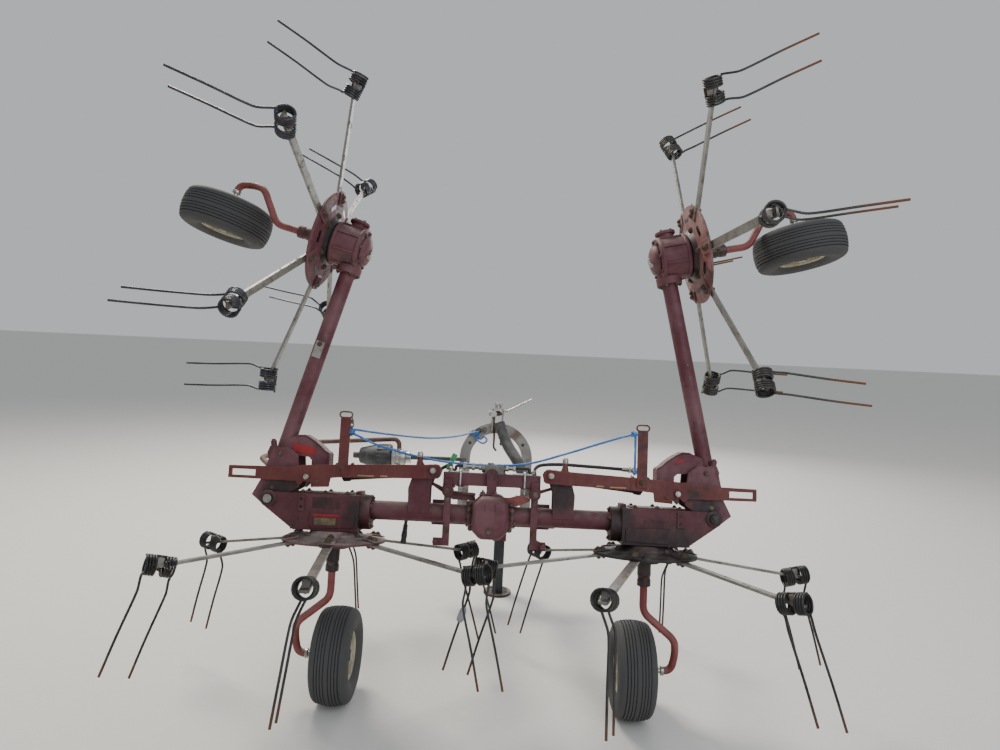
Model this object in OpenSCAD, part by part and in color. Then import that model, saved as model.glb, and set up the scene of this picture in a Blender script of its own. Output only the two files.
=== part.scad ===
// Four-rotor hay tedder, parked on two wheels and its stand with both wings folded up.
// Seen from behind, +X is right, +Y is the way it is pulled and +Z is up.
// The origin is the centre of the top link pin of its three-point headstock.
// The left half is drawn and the right half is its mirror image.

/* [Stance] */
// Height of the main tube's axis above the ground
tube_h = 780; // [740:5:830]
// Lean of the whole frame, front down, as it parks on the stand
lean = 10; // [7:0.5:12]
// Angle the left wing stands folded up from level
fold_left = 105.5; // [101:0.5:107]
// Angle the right wing stands folded up from level
fold_right = 102; // [101:0.5:107]

/* [Main tube] */
// Outer diameter of the main tube
tube_d = 76; // [70:1:84]
// Distance of a rotor housing's flange from the middle
flange_x = 480; // [460:5:500]
// Outer diameter of the bolted flanges
flange_d = 138; // [128:2:150]
// Thickness of the bolted flanges
flange_t = 40; // [30:2:50]

/* [Central gearbox] */
// Width of the gearbox across the machine
gear_w = 146; // [136:2:160]
// Length of the gearbox along the pull
gear_l = 190; // [170:5:220]
// Height of the gearbox
gear_h = 172; // [160:2:180]
// Radius of the splined input shaft
pto_r = 17.4; // [15:0.1:19]
// Free length of the splined input shaft
pto_len = 90; // [70:5:110]

/* [Rotor housings] */
// Top of the housing above the tube's axis
house_top = 58; // [52:1:66]
// Bottom of the housing below the tube's axis
house_bottom = 84; // [78:1:86]
// Width of the housing along the pull
house_w = 150; // [140:2:170]
// Thickness of the housing's side plates
house_plate = 14; // [10:1:18]
// Distance of a fold pin from the middle
hinge_x = 880; // [865:5:900]
// Height of a fold pin above the tube's axis
hinge_z = 32; // [28:1:38]
// Radius of a fold pin
hinge_r = 16; // [12:0.5:20]

/* [Rotors] */
// Distance between the two inner rotors' axes
rotor_pitch = 1250; // [1230:5:1270]
// Depth of the rotor disc's middle plane below the tube's axis
rotor_drop = 105; // [102:1:112]
// Diameter of the rotor disc
disc_d = 410; // [390:10:440]
// Thickness of the rotor disc
disc_t = 10; // [8:1:14]
// Number of arms on a rotor
arm_count = 6; // [5:1:7]
// Distance from the rotor axis to the middle of a tine spring, along the arm
arm_reach = 650; // [640:2:670]
// Droop of the arms below the disc's plane
arm_droop = 8; // [6:0.5:9]
// Width of the flat bar of an arm
arm_w = 32; // [28:1:34]
// Thickness of the flat bar of an arm
arm_t = 10; // [8:1:12]

/* [Tine springs] */
// Outer diameter of a spring coil
coil_d = 76; // [74:1:84]
// Length of one coil
coil_len = 40; // [34:1:42]
// Clear length between the two coils of a spring
coil_gap = 26; // [22:1:32]
// Diameter of the spring wire
wire_d = 9; // [8:0.5:10]
// Angle between a spring's coils and its arm
coil_tilt = 18; // [14:1:19]
// Depth of a tine's tip below the middle of its coil
tine_drop = 388; // [360:2:400]
// Distance a tine's tip stands out past its coil's end
tine_out = 32; // [20:2:40]
// Distance a tine's tip trails behind its coil
tine_trail = 50; // [30:2:70]

/* [Wheels] */
// Outer diameter of the tyres
tyre_d = 380; // [364:2:396]
// Width of the tyres
tyre_w = 154; // [146:2:162]
// Diameter of the rims
rim_d = 186; // [178:2:194]
// Distance of a wheel's middle inboard of its rotor axis
wheel_in = 30; // [20:1:40]
// Distance of a wheel's axle ahead of its rotor axis
wheel_ahead = 60; // [40:2:80]
// Diameter of the bent leg bar
leg_d = 30; // [26:1:34]
// Distance the leg swings outboard round its wheel
leg_out = 136; // [126:2:150]
// Diameter of the fixed sleeve that a rotor turns on
sleeve_d = 54; // [48:1:60]
// Radius of a wheel's stub axle
axle_r = 10; // [8:0.5:12]

/* [Wings] */
// Distance of an outer rotor's axis from its wing's fold pin
wing_len = 1075; // [1050:5:1090]
// Outer diameter of a wing's boom tube
boom_d = 64; // [58:1:70]
// Height of the boom's axis above the tube's axis, wing level
boom_rise = 7; // [0:1:10]
// Thickness of the fold bracket's plates
bracket_t = 12; // [8:1:14]
// Distance of the fold cylinder's eye from the fold pin
eye_r = 172; // [165:1:180]
// Direction of the fold cylinder's eye from the fold pin, wing folded up
eye_a = 32; // [29:0.5:35]

/* [Transport links] */
// Distance of a link's pivot from the middle
link_x = 234; // [225:1:240]
// Height of a link's pivot above the tube's axis
link_z = 170; // [164:1:174]
// Height of the link's channel section
link_h = 54; // [48:1:60]
// Radius of a link's pivot pin
link_pin_r = 10; // [8:0.5:12]
// Length of a lock handle above its link
handle_l = 172; // [150:2:200]

/* [Headstock] */
// Distance of the lower hitch pins ahead of the tube
hitch_y = 1130; // [1080:5:1180]
// Drop of the lower hitch pins below the tube's axis
hitch_drop = 120; // [110:5:130]
// Height of the top link pin above the lower pins
mast_h = 590; // [570:5:610]
// Distance between the shoulders of the lower hitch pins
hitch_w = 683; // [670:1:700]
// Radius of the lower hitch pins
pin_r = 11; // [10:0.5:14]
// Free length of a lower hitch pin
pin_len = 60; // [50:1:70]
// Outer width of the arch over the drive shaft
arch_w = 408; // [390:2:430]
// Width of the arch's flat bar
arch_bar = 58; // [50:1:64]
// Radius of the top link pin's bores
top_r = 9.75; // [9:0.05:12]
// Width of the gap between the top link's ears
top_gap = 46; // [44:1:54]

/* [Stand] */
// Distance of the stand ahead of the tube, along the ground
stand_y = 1215; // [1200:5:1240]
// Distance of the stand to the right of the middle
stand_x = 42; // [36:2:48]
// Width of the stand's square leg
stand_w = 60; // [50:2:66]
// Diameter of the stand's foot
foot_d = 160; // [140:5:180]
// Height that the stand lifts to
stand_lift = 300; // [250:10:330]

/* [Hidden] */
$fn = 48;
maroon = "#6b2030";
dark_maroon = "#4a1a24";
steel_gray = "#8f8f8a";
black = "#202022";
rubber_gray = "#2b2a29";
rim_cream = "#c9c4b0";
rope_blue = "#2f7fd0";

// Radial clearance of a shaft in its bore
run_fit = 0.05;
// Gap between soft curved or sloping faces that nearly touch
seat_gap = 0.3;
// Arm phases of the rotors in the left half's own view, in degrees
phase_li = 36;
phase_lo = 10;
phase_ri = 52;
phase_ro = 35;

inner_x = rotor_pitch / 2;
outer_x = hinge_x + wing_len;
coil_pitch = coil_len + coil_gap;
coil_hole = coil_d - 2 * wire_d;
clamp_z = coil_hole / 2 + 1;
arm_end = arm_reach + coil_pitch / 2;
// Height of the drooped arms' common plane on the rotor axis, above the disc's plane
arm_base = -disc_t / 2 + 70 * tan(arm_droop);
// Place of the top link pin in the leaning frame, and in the standing frame
top_y = hitch_y - 20;
top_z = mast_h - hitch_drop;
origin_y = top_y * cos(lean) + top_z * sin(lean);
origin_z = tube_h + top_z * cos(lean) - top_y * sin(lean);
// Place of the wheel axles in the leaning frame
axle_z = -((tube_h - tyre_d / 2) - wheel_ahead * sin(lean)) / cos(lean);
// Fold cylinder, from the link pivot to the eye
eye_x = hinge_x - eye_r * cos(eye_a);
eye_z = hinge_z + eye_r * sin(eye_a);
cyl_len = norm([eye_x - link_x, eye_z - link_z]);
cyl_drop = atan2(link_z - eye_z, eye_x - link_x);

// Frames: the leaning machine frame, the standing ground frame and a folded wing
module grounded() translate([0, -origin_y, -origin_z]) children();
module leaning() grounded() translate([0, 0, tube_h]) rotate([-lean, 0, 0]) children();
module right_half() mirror([1, 0, 0]) children();
module folded(up) {
    translate([-hinge_x, 0, hinge_z]) rotate([0, up, 0]) translate([hinge_x, 0, -hinge_z]) children();
}

// Round bar along a path of points, with one ring of flats at each point
function unit(v) = v / norm(v);
function path_dir(p, i) = i == 0 ? unit(p[1] - p[0])
    : i == len(p) - 1 ? unit(p[i] - p[i - 1])
    : unit(unit(p[i] - p[i - 1]) + unit(p[i + 1] - p[i]));
function ring_points(c, t, r, sides, up) =
    let (u = unit(cross(t, up)), v = cross(t, u))
    [for (k = [0 : sides - 1]) c + r * (u * cos(360 * k / sides) + v * sin(360 * k / sides))];
module bar_path(p, d, sides = 10, up = [0, 0.03, 1]) {
    n = len(p);
    rings = [for (i = [0 : n - 1]) each ring_points(p[i], path_dir(p, i), d / 2, sides, up)];
    walls = [for (i = [0 : n - 2], k = [0 : sides - 1])
        let (a = i * sides + k, b = i * sides + (k + 1) % sides)
        [a, a + sides, b + sides, b]];
    head = [for (k = [0 : sides - 1]) k];
    tail = [for (k = [sides - 1 : -1 : 0]) (n - 1) * sides + k];
    polyhedron(points = rings, faces = concat(walls, [head], [tail]), convexity = 6);
}

// Points of a smooth bend through a list of corners, each corner cut by a short arc
function bend(p, r, steps = 5) = [
    p[0],
    for (i = [1 : len(p) - 2])
        let (a = unit(p[i - 1] - p[i]), b = unit(p[i + 1] - p[i]))
        for (s = [0 : steps])
            let (t = s / steps, q0 = p[i] + a * r, q2 = p[i] + b * r)
            (1 - t) * (1 - t) * q0 + 2 * t * (1 - t) * p[i] + t * t * q2,
    p[len(p) - 1]
];

// Upright plate lying along the machine's width, its outline in X and Z, from y0 to y1
module side_plate(outline, y0, y1) {
    translate([0, y1, 0]) rotate([90, 0, 0]) linear_extrude(y1 - y0) polygon(outline);
}
module y_rod(x, z, y0, y1, r) translate([x, y0, z]) rotate([-90, 0, 0]) cylinder(h = y1 - y0, r = r);
module x_rod(x0, x1, y, z, r) translate([x0, y, z]) rotate([0, 90, 0]) cylinder(h = x1 - x0, r = r);
module block(x0, x1, y0, y1, z0, z1) translate([x0, y0, z0]) cube([x1 - x0, y1 - y0, z1 - z0]);

// Main tube with its welded uprights, strap plates and foot ears
upright_t = 10;
upright_y = 42;
link_web_y = -78;
link_web_t = 10;
module upright() {
    outline = [
        [-330, 0], [-334, 95], [-322, 135], [-296, 168], [-262, 192], [-222, 192], [-206, 172],
        [-212, 148], [-236, 132], [-247, 100], [-247, 0]
    ];
    for (y = [-upright_y, upright_y - upright_t]) difference() {
        side_plate(outline, y, y + upright_t);
        y_rod(-link_x, link_z, y - 1, y + upright_t + 1, link_pin_r + run_fit);
    }
}
module strap() {
    block(-187, -159, -58, -46, -122, 138);
    block(-222, -159, -58, -46, -122, -92);
    y_rod(-210, -107, -68, -46, 14);
    block(-187, -159, -50, -30, -14, 14);
}
module main_tube() color(maroon) {
    tube_in = gear_w / 2;
    for (s = [-1, 1]) scale([s, 1, 1]) {
        x_rod(-flange_x, -tube_in, 0, 0, tube_d / 2);
    }
    for (s = [0, 1]) mirror([s, 0, 0]) {
        upright();
        strap();
    }
}

// Central bevel gearbox, cast, with chamfered corners and a cover on its back
module center_gearbox() color(maroon) {
    c = 34;
    w = gear_w / 2;
    top = gear_h / 2 - 4;
    low = -gear_h / 2 - 4;
    outline = [
        [-w, low + c], [-w, top - c], [-w + c, top], [w - c, top],
        [w, top - c], [w, low + c], [w - c, low], [-w + c, low]
    ];
    side_plate(outline, -gear_l / 2, gear_l / 2);
    inset = 12;
    inner = [for (p = outline) [p.x * (w - inset) / w, (p.y + 4) * (top - inset) / top - 4]];
    side_plate(inner, -gear_l / 2 - 14, -gear_l / 2);
    y_rod(0, low + 36, -gear_l / 2 - 24, -gear_l / 2, 13);
    y_rod(0, 0, gear_l / 2, gear_l / 2 + 40, 48);
}
module input_shaft() color(steel_gray) y_rod(0, 0, gear_l / 2 + 40, gear_l / 2 + 40 + pto_len, pto_r);

// Cross channel above the gearbox with its two U-bolts and middle lug
channel_z0 = 116;
channel_z1 = 166;
module cross_channel() {
    color(maroon) {
        difference() {
            block(-195, 195, -46, 46, channel_z0, channel_z1);
            block(-196, 196, -38, 47, channel_z0 + 8, channel_z1 - 8);
        }
        block(-20, 20, -66, -46, channel_z0 - 18, channel_z1 + 4);
        block(-20, 20, -66, 46, gear_h / 2 - 4, channel_z0);
    }
    color(steel_gray) for (x = [-122, 135]) y_rod(x, channel_z1 - 25, -54, -46, 5);
}

// Rotor housing with side plates that carry the fold pin
module housing() {
    h = house_w / 2;
    top = house_top;
    low = -house_bottom;
    color(maroon) {
        x_rod(-flange_x - flange_t, -flange_x, 0, -10, flange_d / 2);
        difference() {
            union() {
                block(-790, -flange_x - flange_t, -h + house_plate, h - house_plate, low, top);
                outline = [
                    [-flange_x - flange_t, top], [-860, top], [-hinge_x - 20, hinge_z + 26],
                    [-hinge_x - 32, hinge_z], [-hinge_x - 20, hinge_z - 26], [-775, low], [-flange_x - flange_t, low]
                ];
                side_plate(outline, -h, -h + house_plate);
                side_plate(outline, h - house_plate, h);
                block(-760, -735, -h - 6, -h, -10, 48);
            }
            y_rod(-hinge_x, hinge_z, -h - 1, h + 1, hinge_r + run_fit);
        }
        block(-540, -flange_x - flange_t, -44, 44, top, top + 14);
    }
}

// Rotor: disc with its hub, arms under it and tine springs at the arms' ends
module at_rotor(x) translate([-x, 0, -rotor_drop]) children();
module at_arm(phase, k) rotate([0, 0, phase + k * 360 / arm_count]) translate([0, 0, arm_base]) rotate([0, arm_droop, 0]) children();
module hub() color(dark_maroon) {
    bore = sleeve_d / 2 + run_fit;
    edge = disc_d / 2;
    fall = (edge - 70) * tan(arm_droop);
    rotate_extrude($fn = 72) polygon([
        [bore, disc_t / 2], [70, disc_t / 2], [edge, disc_t / 2 - fall], [edge, -disc_t / 2 - fall],
        [70, -disc_t / 2], [58, -52], [bore, -52]
    ]);
}
module at_spring() translate([arm_reach, 0, -seat_gap - arm_t / 2]) rotate([0, -coil_tilt, 0]) children();
module arms(phase) color(steel_gray) {
    for (k = [0 : arm_count - 1]) at_arm(phase, k) {
        block(78, arm_end, -arm_w / 2, arm_w / 2, -seat_gap - arm_t, -seat_gap);
        at_spring() block(-coil_gap / 2 + 2, coil_gap / 2 - 2, -12, 12, -2, clamp_z);
    }
}
module spring(trail) {
    rc = coil_d / 2;
    root = rc - wire_d / 2;
    for (x = [-coil_pitch / 2, coil_pitch / 2]) {
        translate([x - coil_len / 2, 0, 0]) rotate([0, 90, 0]) difference() {
            cylinder(h = coil_len, r = rc);
            translate([0, 0, -1]) cylinder(h = coil_len + 2, r = coil_hole / 2);
        }
    }
    block(-coil_gap / 2 - 1, coil_gap / 2 + 1, -7, 7, clamp_z, rc - 1);
    for (s = [-1, 1]) {
        xs = s * (coil_pitch / 2 + coil_len / 2 - wire_d / 2 - 1);
        bar_path([
            [xs, trail * 4, -root + 2],
            [xs, trail * 4, -root - 6],
            [xs - 6, trail * (tine_trail * 0.5), -root - 56],
            [xs - 4, trail * (tine_trail * 0.6), -root - 84],
            [xs + tine_out, trail * tine_trail, -tine_drop]
        ], wire_d, 8, [0, 1, 0.03]);
    }
}
module tines(phase, trail) color(black) {
    for (k = [0 : arm_count - 1]) at_arm(phase, k) at_spring() spring(trail);
}

// Leg: sleeve under the housing, bent bar round the wheel and the stub axle
sleeve_len = 166;
leg_clear = 46;
module leg(x) {
    side = x + leg_out;
    top = -house_bottom;
    low = top - sleeve_len;
    wheel_x = x - wheel_in;
    wz = axle_z;
    wy = wheel_ahead;
    over = wz + tyre_d / 2 + leg_clear;
    color(dark_maroon) translate([-x, 0, low]) cylinder(h = sleeve_len, r = sleeve_d / 2);
    color(maroon) bar_path(bend([
        [-x, 0, low + 4], [-x, 4, over], [-side + 6, 12, over - 105],
        [-side - 6, wy - 10, over - 165], [-side + 8, wy, wz], [-side + 40, wy, wz]
    ], 28), leg_d, 12, [0, 1, 0]);
    color(steel_gray) x_rod(-side + 20, -wheel_x + 60, wy, wz, axle_r);
}

// Wheel, lying round its axle
module at_axle(x) translate([-x + wheel_in, wheel_ahead, axle_z]) rotate([0, 90, 0]) children();
module tyre() color(rubber_gray) {
    r = tyre_d / 2;
    w = tyre_w / 2;
    b = rim_d / 2;
    rotate_extrude($fn = 72) polygon([
        [b, -w + 24], [b + 22, -w + 6], [b + 52, -w], [r - 26, -w + 5], [r - 8, -w + 20], [r, -w + 44],
        [r, w - 44], [r - 8, w - 20], [r - 26, w - 5], [b + 52, w], [b + 22, w - 6], [b, w - 24]
    ]);
}
module rim() color(rim_cream) {
    b = rim_d / 2;
    w = tyre_w / 2 - 24;
    bore = axle_r + run_fit;
    difference() {
        rotate_extrude($fn = 72) polygon([
            [bore, -46], [26, -46], [26, -10], [b - 24, -10], [b - 14, -w], [b, -w],
            [b, w], [b - 14, w], [b - 24, 2], [30, 2], [26, 46], [bore, 46]
        ]);
        for (k = [0 : 3]) rotate([0, 0, 45 + 90 * k]) translate([50, 0, -20]) cylinder(h = 40, r = 7);
    }
}

// Wing: boom tube with fold bracket and stop sector, drawn level in its working place
bracket_in = house_w / 2 - house_plate - 2;
sector_r = 283;
sector_t = 10;
sector_y = 34;
// Outlines of the bracket's plates and of the stop sector, as they stand when the wing is folded up
bracket_outline = [
    [-30, -22], [20, -26], [50, 2], [84, 30], [108, 44], [112, 70], [165, 68], [182, 84],
    [182, 112], [150, 132], [104, 132], [100, 175], [60, 205], [0, 200], [-40, 75], [-72, 12]
];
sector_arc = [for (a = [44 : 5 : 66]) [cos(a), sin(a)]];
sector_outline = concat(
    [[172, 84], [220, 84], [220, 186]], [for (v = sector_arc) sector_r * v],
    [[88, 254], [40, 235], [30, 190], [104, 170], [138, 168], [150, 156], [150, 132]]
);
sector_cover = concat(
    [[220, 125], [220, 186]], [for (v = sector_arc) sector_r * v],
    [for (k = [len(sector_arc) - 1 : -1 : 0]) (sector_r - sector_t) * sector_arc[k]],
    [[220 - sector_t, 182], [220 - sector_t, 125]]
);
module folded_plate(outline, y0, y1, up) {
    translate([0, y1, 0]) rotate([90, 0, 0]) linear_extrude(y1 - y0) rotate(up) polygon(outline);
}
foot_in = 80;
foot_out = 190;
module boom(up) color(maroon) {
    axis = boom_rise - hinge_z;
    stop = wing_len - 95;
    foot_y = bracket_in - 1;
    translate([-hinge_x, 0, hinge_z]) {
        x_rod(-stop, -foot_in, 0, axis, boom_d / 2);
        x_rod(-stop, -stop + 16, 0, axis, boom_d / 2 + 20);
        for (y = [-bracket_in, bracket_in - bracket_t]) folded_plate(bracket_outline, y, y + bracket_t, up);
        for (y = [-sector_y, sector_y - sector_t]) folded_plate(sector_outline, y, y + sector_t, up);
        folded_plate(sector_cover, -sector_y + 1, sector_y - 1, up);
        block(-foot_out, -foot_in, -foot_y, foot_y, axis - boom_d / 2, axis + boom_d / 2 + 6);
        y_rod(0, 0, -house_w / 2 - 12, house_w / 2 + 12, hinge_r);
    }
}
module outer_gearbox() color(maroon) {
    low = -house_bottom;
    x_rod(-outer_x + 79, -outer_x + 95, 0, boom_rise, boom_d / 2 + 20);
    x_rod(-outer_x, -outer_x + 79, 0, boom_rise, boom_d / 2 + 12);
    translate([-outer_x, 0, low]) cylinder(h = 38 - low, r = 88);
    translate([-outer_x, 0, 38]) cylinder(h = 20, r = 58);
    x_rod(-outer_x - 112, -outer_x, 0, -14, 34);
}

// Transport link: channel with hook, slotted end and its upright handle
module link() {
    y0 = link_web_y;
    y1 = y0 + link_web_t;
    low = link_z - link_h / 2 - 4;
    top = link_z + link_h / 2 - 4;
    out = -1045;
    color(maroon) {
        difference() {
            union() {
                side_plate([
                    [-205, low + 8], [-205, top - 8], [-215, top], [-640, top - 18], [-775, top - 26], [-790, top - 34],
                    [out, top - 38], [out, top - 86], [-776, low - 34], [-772, low - 44], [-756, low - 46],
                    [-748, low - 34], [-718, low - 34], [-714, low - 56], [-645, low - 52], [-640, low - 14], [-215, low]
                ], y0, y1);
                side_plate([[-215, top - 8], [-215, top], [-640, top - 18], [-640, top - 26]], y1, y1 + 21);
                side_plate([[-215, low], [-215, low + 8], [-640, low - 6], [-640, low - 14]], y1, y1 + 21);
            }
            block(-1032, -938, y0 - 1, y1 + 1, top - 75, top - 51);
        }
        block(-612, -572, y0 - 8, y0, low + 2, top + handle_l);
    }
    color(steel_gray) {
        y_rod(-link_x, link_z, y0 - 12, upright_y + 8, link_pin_r);
        y_rod(-link_x, link_z, y0 - 12, y0, 14);
        y_rod(-592, link_z - 8, y0 - 16, y0 - 8, 11);
        y_rod(-eye_x, eye_z, y0 - 10, y0, 13);
    }
}

// Fold cylinder, drawn along -X from the link pivot
module at_cylinder() translate([-link_x, 0, link_z]) rotate([0, -cyl_drop, 0]) children();
cyl_y = upright_y - upright_t - 3;
module barrel() at_cylinder() color(black) {
    difference() {
        union() {
            y_rod(0, 0, -cyl_y, cyl_y, 24);
            x_rod(-cyl_len + 130, -12, 0, 0, 24);
            x_rod(-cyl_len + 130, -cyl_len + 158, 0, 0, 28);
        }
        y_rod(0, 0, -cyl_y - 1, cyl_y + 1, link_pin_r + run_fit);
        x_rod(-cyl_len + 129, -cyl_len + 149, 0, 0, 12 + run_fit);
    }
}
module rod() at_cylinder() color(steel_gray) {
    difference() {
        union() {
            x_rod(-cyl_len + 20, -cyl_len + 149, 0, 0, 12);
            y_rod(-cyl_len, 0, -14, 14, 21);
        }
        y_rod(-cyl_len, 0, -15, 15, 11);
    }
}

// Drawbar: two arms forward from the main tube to the hitch crossbar, and the stand's socket
arm_back = 205;
arm_front = 150;
arch_rise = 215;
module drawbar() {
    half = hitch_w / 2;
    z = -hitch_drop;
    color(maroon) {
        difference() {
            for (s = [-1, 1]) {
                bar_path([[s * arm_back, tube_d / 2 - 6, 0], [s * arm_front, hitch_y - 30, z]], 60, 12);
                block(s * arm_back - 34, s * arm_back + 34, tube_d / 2 - 14, tube_d / 2 + 14, -50, 50);
            }
            x_rod(-400, 400, 0, 0, tube_d / 2 + seat_gap);
        }
        block(-half, half, hitch_y - 34, hitch_y + 34, z - 34, z + 34);
    }
    color(steel_gray) for (s = [-1, 1]) {
        x_rod(s < 0 ? -half - pin_len : half, s < 0 ? -half : half + pin_len, hitch_y, z, pin_r);
    }
}
// Arch over the drive shaft with the top link's ears
module arch() color(steel_gray) {
    r_out = arch_w / 2;
    r_in = r_out - arch_bar;
    difference() {
        union() {
            translate([0, top_y + 30, arch_rise]) rotate([90, 0, 0]) cylinder(h = 20, r = r_out);
            block(-r_out, r_out, top_y + 10, top_y + 30, 34 - hitch_drop, arch_rise);
        }
        y_rod(0, arch_rise, top_y + 9, top_y + 31, r_in);
        block(-r_in, r_in, top_y + 9, top_y + 31, 33 - hitch_drop, arch_rise);
    }
}
module top_ears() color(steel_gray) {
    foot = arch_rise + arch_w / 2 - arch_bar + 8;
    for (s = [-1, 1]) difference() {
        x = s < 0 ? -top_gap / 2 - 10 : top_gap / 2;
        union() {
            block(x, x + 10, top_y - 30, top_y + 10, foot, top_z + 26);
            block(x, x + 10, top_y - 30, top_y + 30, arch_rise + arch_w / 2, top_z + 26);
        }
        x_rod(x - 1, x + 11, top_y, top_z, top_r);
    }
}
// Cross hole for the stand's locking pin, below the middle of the hitch bar
stand_pin_r = 9;
stand_pin_drop = 60;
// Middle of the hitch bar in the standing frame
bar_gy = hitch_y * cos(lean) - hitch_drop * sin(lean);
bar_gz = tube_h - hitch_drop * cos(lean) - hitch_y * sin(lean);
stand_wall = 8;
stand_fit = 0.5;
module stand_box(half, z0, z1) block(stand_x - half, stand_x + half, stand_y - half, stand_y + half, z0, z1);
module stand_socket() color(maroon) {
    difference() {
        union() {
            stand_box(stand_w / 2 + stand_wall, bar_gz - 150, bar_gz + 24);
            block(stand_x - 24, stand_x + 24, bar_gy, stand_y - stand_w / 2 - 1, bar_gz - 28, bar_gz + 18);
        }
        stand_box(stand_w / 2 + stand_fit, 0, 2 * bar_gz);
        x_rod(stand_x - stand_w, stand_x + stand_w, stand_y, bar_gz - stand_pin_drop, stand_pin_r);
    }
}
module stand_leg() color(black) {
    pin_z = bar_gz - stand_pin_drop;
    difference() {
        stand_box(stand_w / 2, 10, bar_gz + 30);
        for (z = [pin_z, pin_z - stand_lift]) x_rod(stand_x - stand_w, stand_x + stand_w, stand_y, z, stand_pin_r);
    }
    translate([stand_x, stand_y, 0]) cylinder(h = 10, r = foot_d / 2);
}
module top_rod() color(steel_gray) {
    z = top_z + 18;
    bar_path([[top_gap / 2 + 10 + seat_gap, top_y, z], [56, top_y, z], [190, top_y, z + 72]], 12, 8, [0, 1, 0]);
}

// Guard hoop ahead of the left housing
module guard_hoop() color(dark_maroon) {
    bar_path(bend([
        [-840, house_w / 2 + seat_gap, 20], [-840, 118, 20], [-870, 150, 60], [-970, 190, 150], [-1060, 340, 180],
        [-1050, 640, 215], [-960, 820, 262], [-507, 840, 300], [-507, 840, 249 + seat_gap]
    ], 12), 24, 10, [0.03, 0, 1]);
}
// Stowed drive shaft: yoke end with its bell on the left, and the guard tube by the arch
module shaft_guard() color(black) {
    bar_path([[14, top_y - 59.4, 410], [60, 1000, 300], [130, 930, 190], [181, 876, 45]], 64, 12);
}
module shaft_yoke() {
    y = 840;
    z = 206;
    color(black) {
        translate([-545, y, z]) rotate([0, -90, 0]) cylinder(h = 165, r1 = 64, r2 = 40);
        x_rod(-745, -705, y, z, 16);
        bar_path(bend([[-440, y, z], [-360, y + 10, z], [-175, top_y - 60, z], [-175, top_y + 10 - seat_gap, z]], 24), 22, 8);
    }
    color(steel_gray) {
        x_rod(-545, -470, y, z, 43);
        x_rod(-470, -440, y, z, 33);
    }
}

// Cord routes, in the leaning frame
rope_d = 9;
hose_d = 14;
rope_top_route = [
    [-572 + seat_gap, -82, 318], [-560, -82, 318], [-500, 0, 312], [-400, 200, 306], [-300, 440, 306],
    [-200, 740, 326], [-140, 980, 352], [-120, 1080, 360], [-120, 1120 - seat_gap, 362]
];
rope_cross_route = [
    [-572 + seat_gap, -82, 300], [-560, -82, 300], [-470, -50, 262], [-330, -10, 226], [-180, 10, 204], [0, 10, 200],
    [140, 10, 212], [300, -20, 262], [440, -60, 312], [530, -76, 342], [560, -82, 350], [572 - seat_gap, -82, 350]
];
rope_tail_route = [[562, -82, 350 - rope_d / 2 - seat_gap], [562, -84, 320], [562, -86, 260], [562, -86, 196]];
hose_left_route = [
    [-170, 20, 166 + seat_gap], [-170, 20, 180], [-174, 50, 194], [-200, 80, 184], [-270, 95, 134], [-330, 100, 60],
    [-350, 104, -20], [-356, 106, -90]
];
hose_right_route = [
    [170, 20, 166 + seat_gap], [170, 20, 180], [188, 58, 204], [260, 84, 214], [400, 90, 212], [566, 90, 206]
];

leaning() main_tube();
leaning() center_gearbox();
leaning() input_shaft();
leaning() cross_channel();
union() { leaning() drawbar(); grounded() stand_socket(); }
leaning() arch();
leaning() top_ears();
leaning() guard_hoop();
leaning() shaft_guard();
leaning() shaft_yoke();
leaning() top_rod();
leaning() housing();  // housing_left
leaning() right_half() housing();  // housing_right
leaning() link();  // link_left
leaning() right_half() link();  // link_right
leaning() leg(inner_x);  // leg_li
leaning() right_half() leg(inner_x);  // leg_ri
grounded() stand_leg();
leaning() at_rotor(inner_x) hub();  // hub_li
leaning() at_rotor(inner_x) arms(phase_li);  // arms_li
leaning() at_rotor(inner_x) tines(phase_li, -1);  // tines_li
leaning() right_half() at_rotor(inner_x) hub();  // hub_ri
leaning() right_half() at_rotor(inner_x) arms(phase_ri);  // arms_ri
leaning() right_half() at_rotor(inner_x) tines(phase_ri, -1);  // tines_ri
leaning() folded(fold_left) at_rotor(outer_x) hub();  // hub_lo
leaning() folded(fold_left) at_rotor(outer_x) arms(phase_lo);  // arms_lo
leaning() folded(fold_left) at_rotor(outer_x) tines(phase_lo, 1);  // tines_lo
leaning() right_half() folded(fold_right) at_rotor(outer_x) hub();  // hub_ro
leaning() right_half() folded(fold_right) at_rotor(outer_x) arms(phase_ro);  // arms_ro
leaning() right_half() folded(fold_right) at_rotor(outer_x) tines(phase_ro, 1);  // tines_ro
leaning() at_axle(inner_x) tyre();  // tyre_li
leaning() at_axle(inner_x) rim();  // rim_li
leaning() right_half() at_axle(inner_x) tyre();  // tyre_ri
leaning() right_half() at_axle(inner_x) rim();  // rim_ri
leaning() folded(fold_left) at_axle(outer_x) tyre();  // tyre_lo
leaning() folded(fold_left) at_axle(outer_x) rim();  // rim_lo
leaning() right_half() folded(fold_right) at_axle(outer_x) tyre();  // tyre_ro
leaning() right_half() folded(fold_right) at_axle(outer_x) rim();  // rim_ro
leaning() folded(fold_left) boom(fold_left);  // boom_left
leaning() right_half() folded(fold_right) boom(fold_right);  // boom_right
leaning() folded(fold_left) outer_gearbox();  // gearbox_left
leaning() right_half() folded(fold_right) outer_gearbox();  // gearbox_right
leaning() folded(fold_left) leg(outer_x);  // leg_lo
leaning() right_half() folded(fold_right) leg(outer_x);  // leg_ro
leaning() barrel();  // barrel_left
leaning() right_half() barrel();  // barrel_right
leaning() rod();  // rod_left
leaning() right_half() rod();  // rod_right
leaning() color(rope_blue) bar_path(rope_top_route, rope_d, 8);  // rope_top
leaning() color(rope_blue) bar_path(rope_cross_route, rope_d, 8);  // rope_cross
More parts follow.
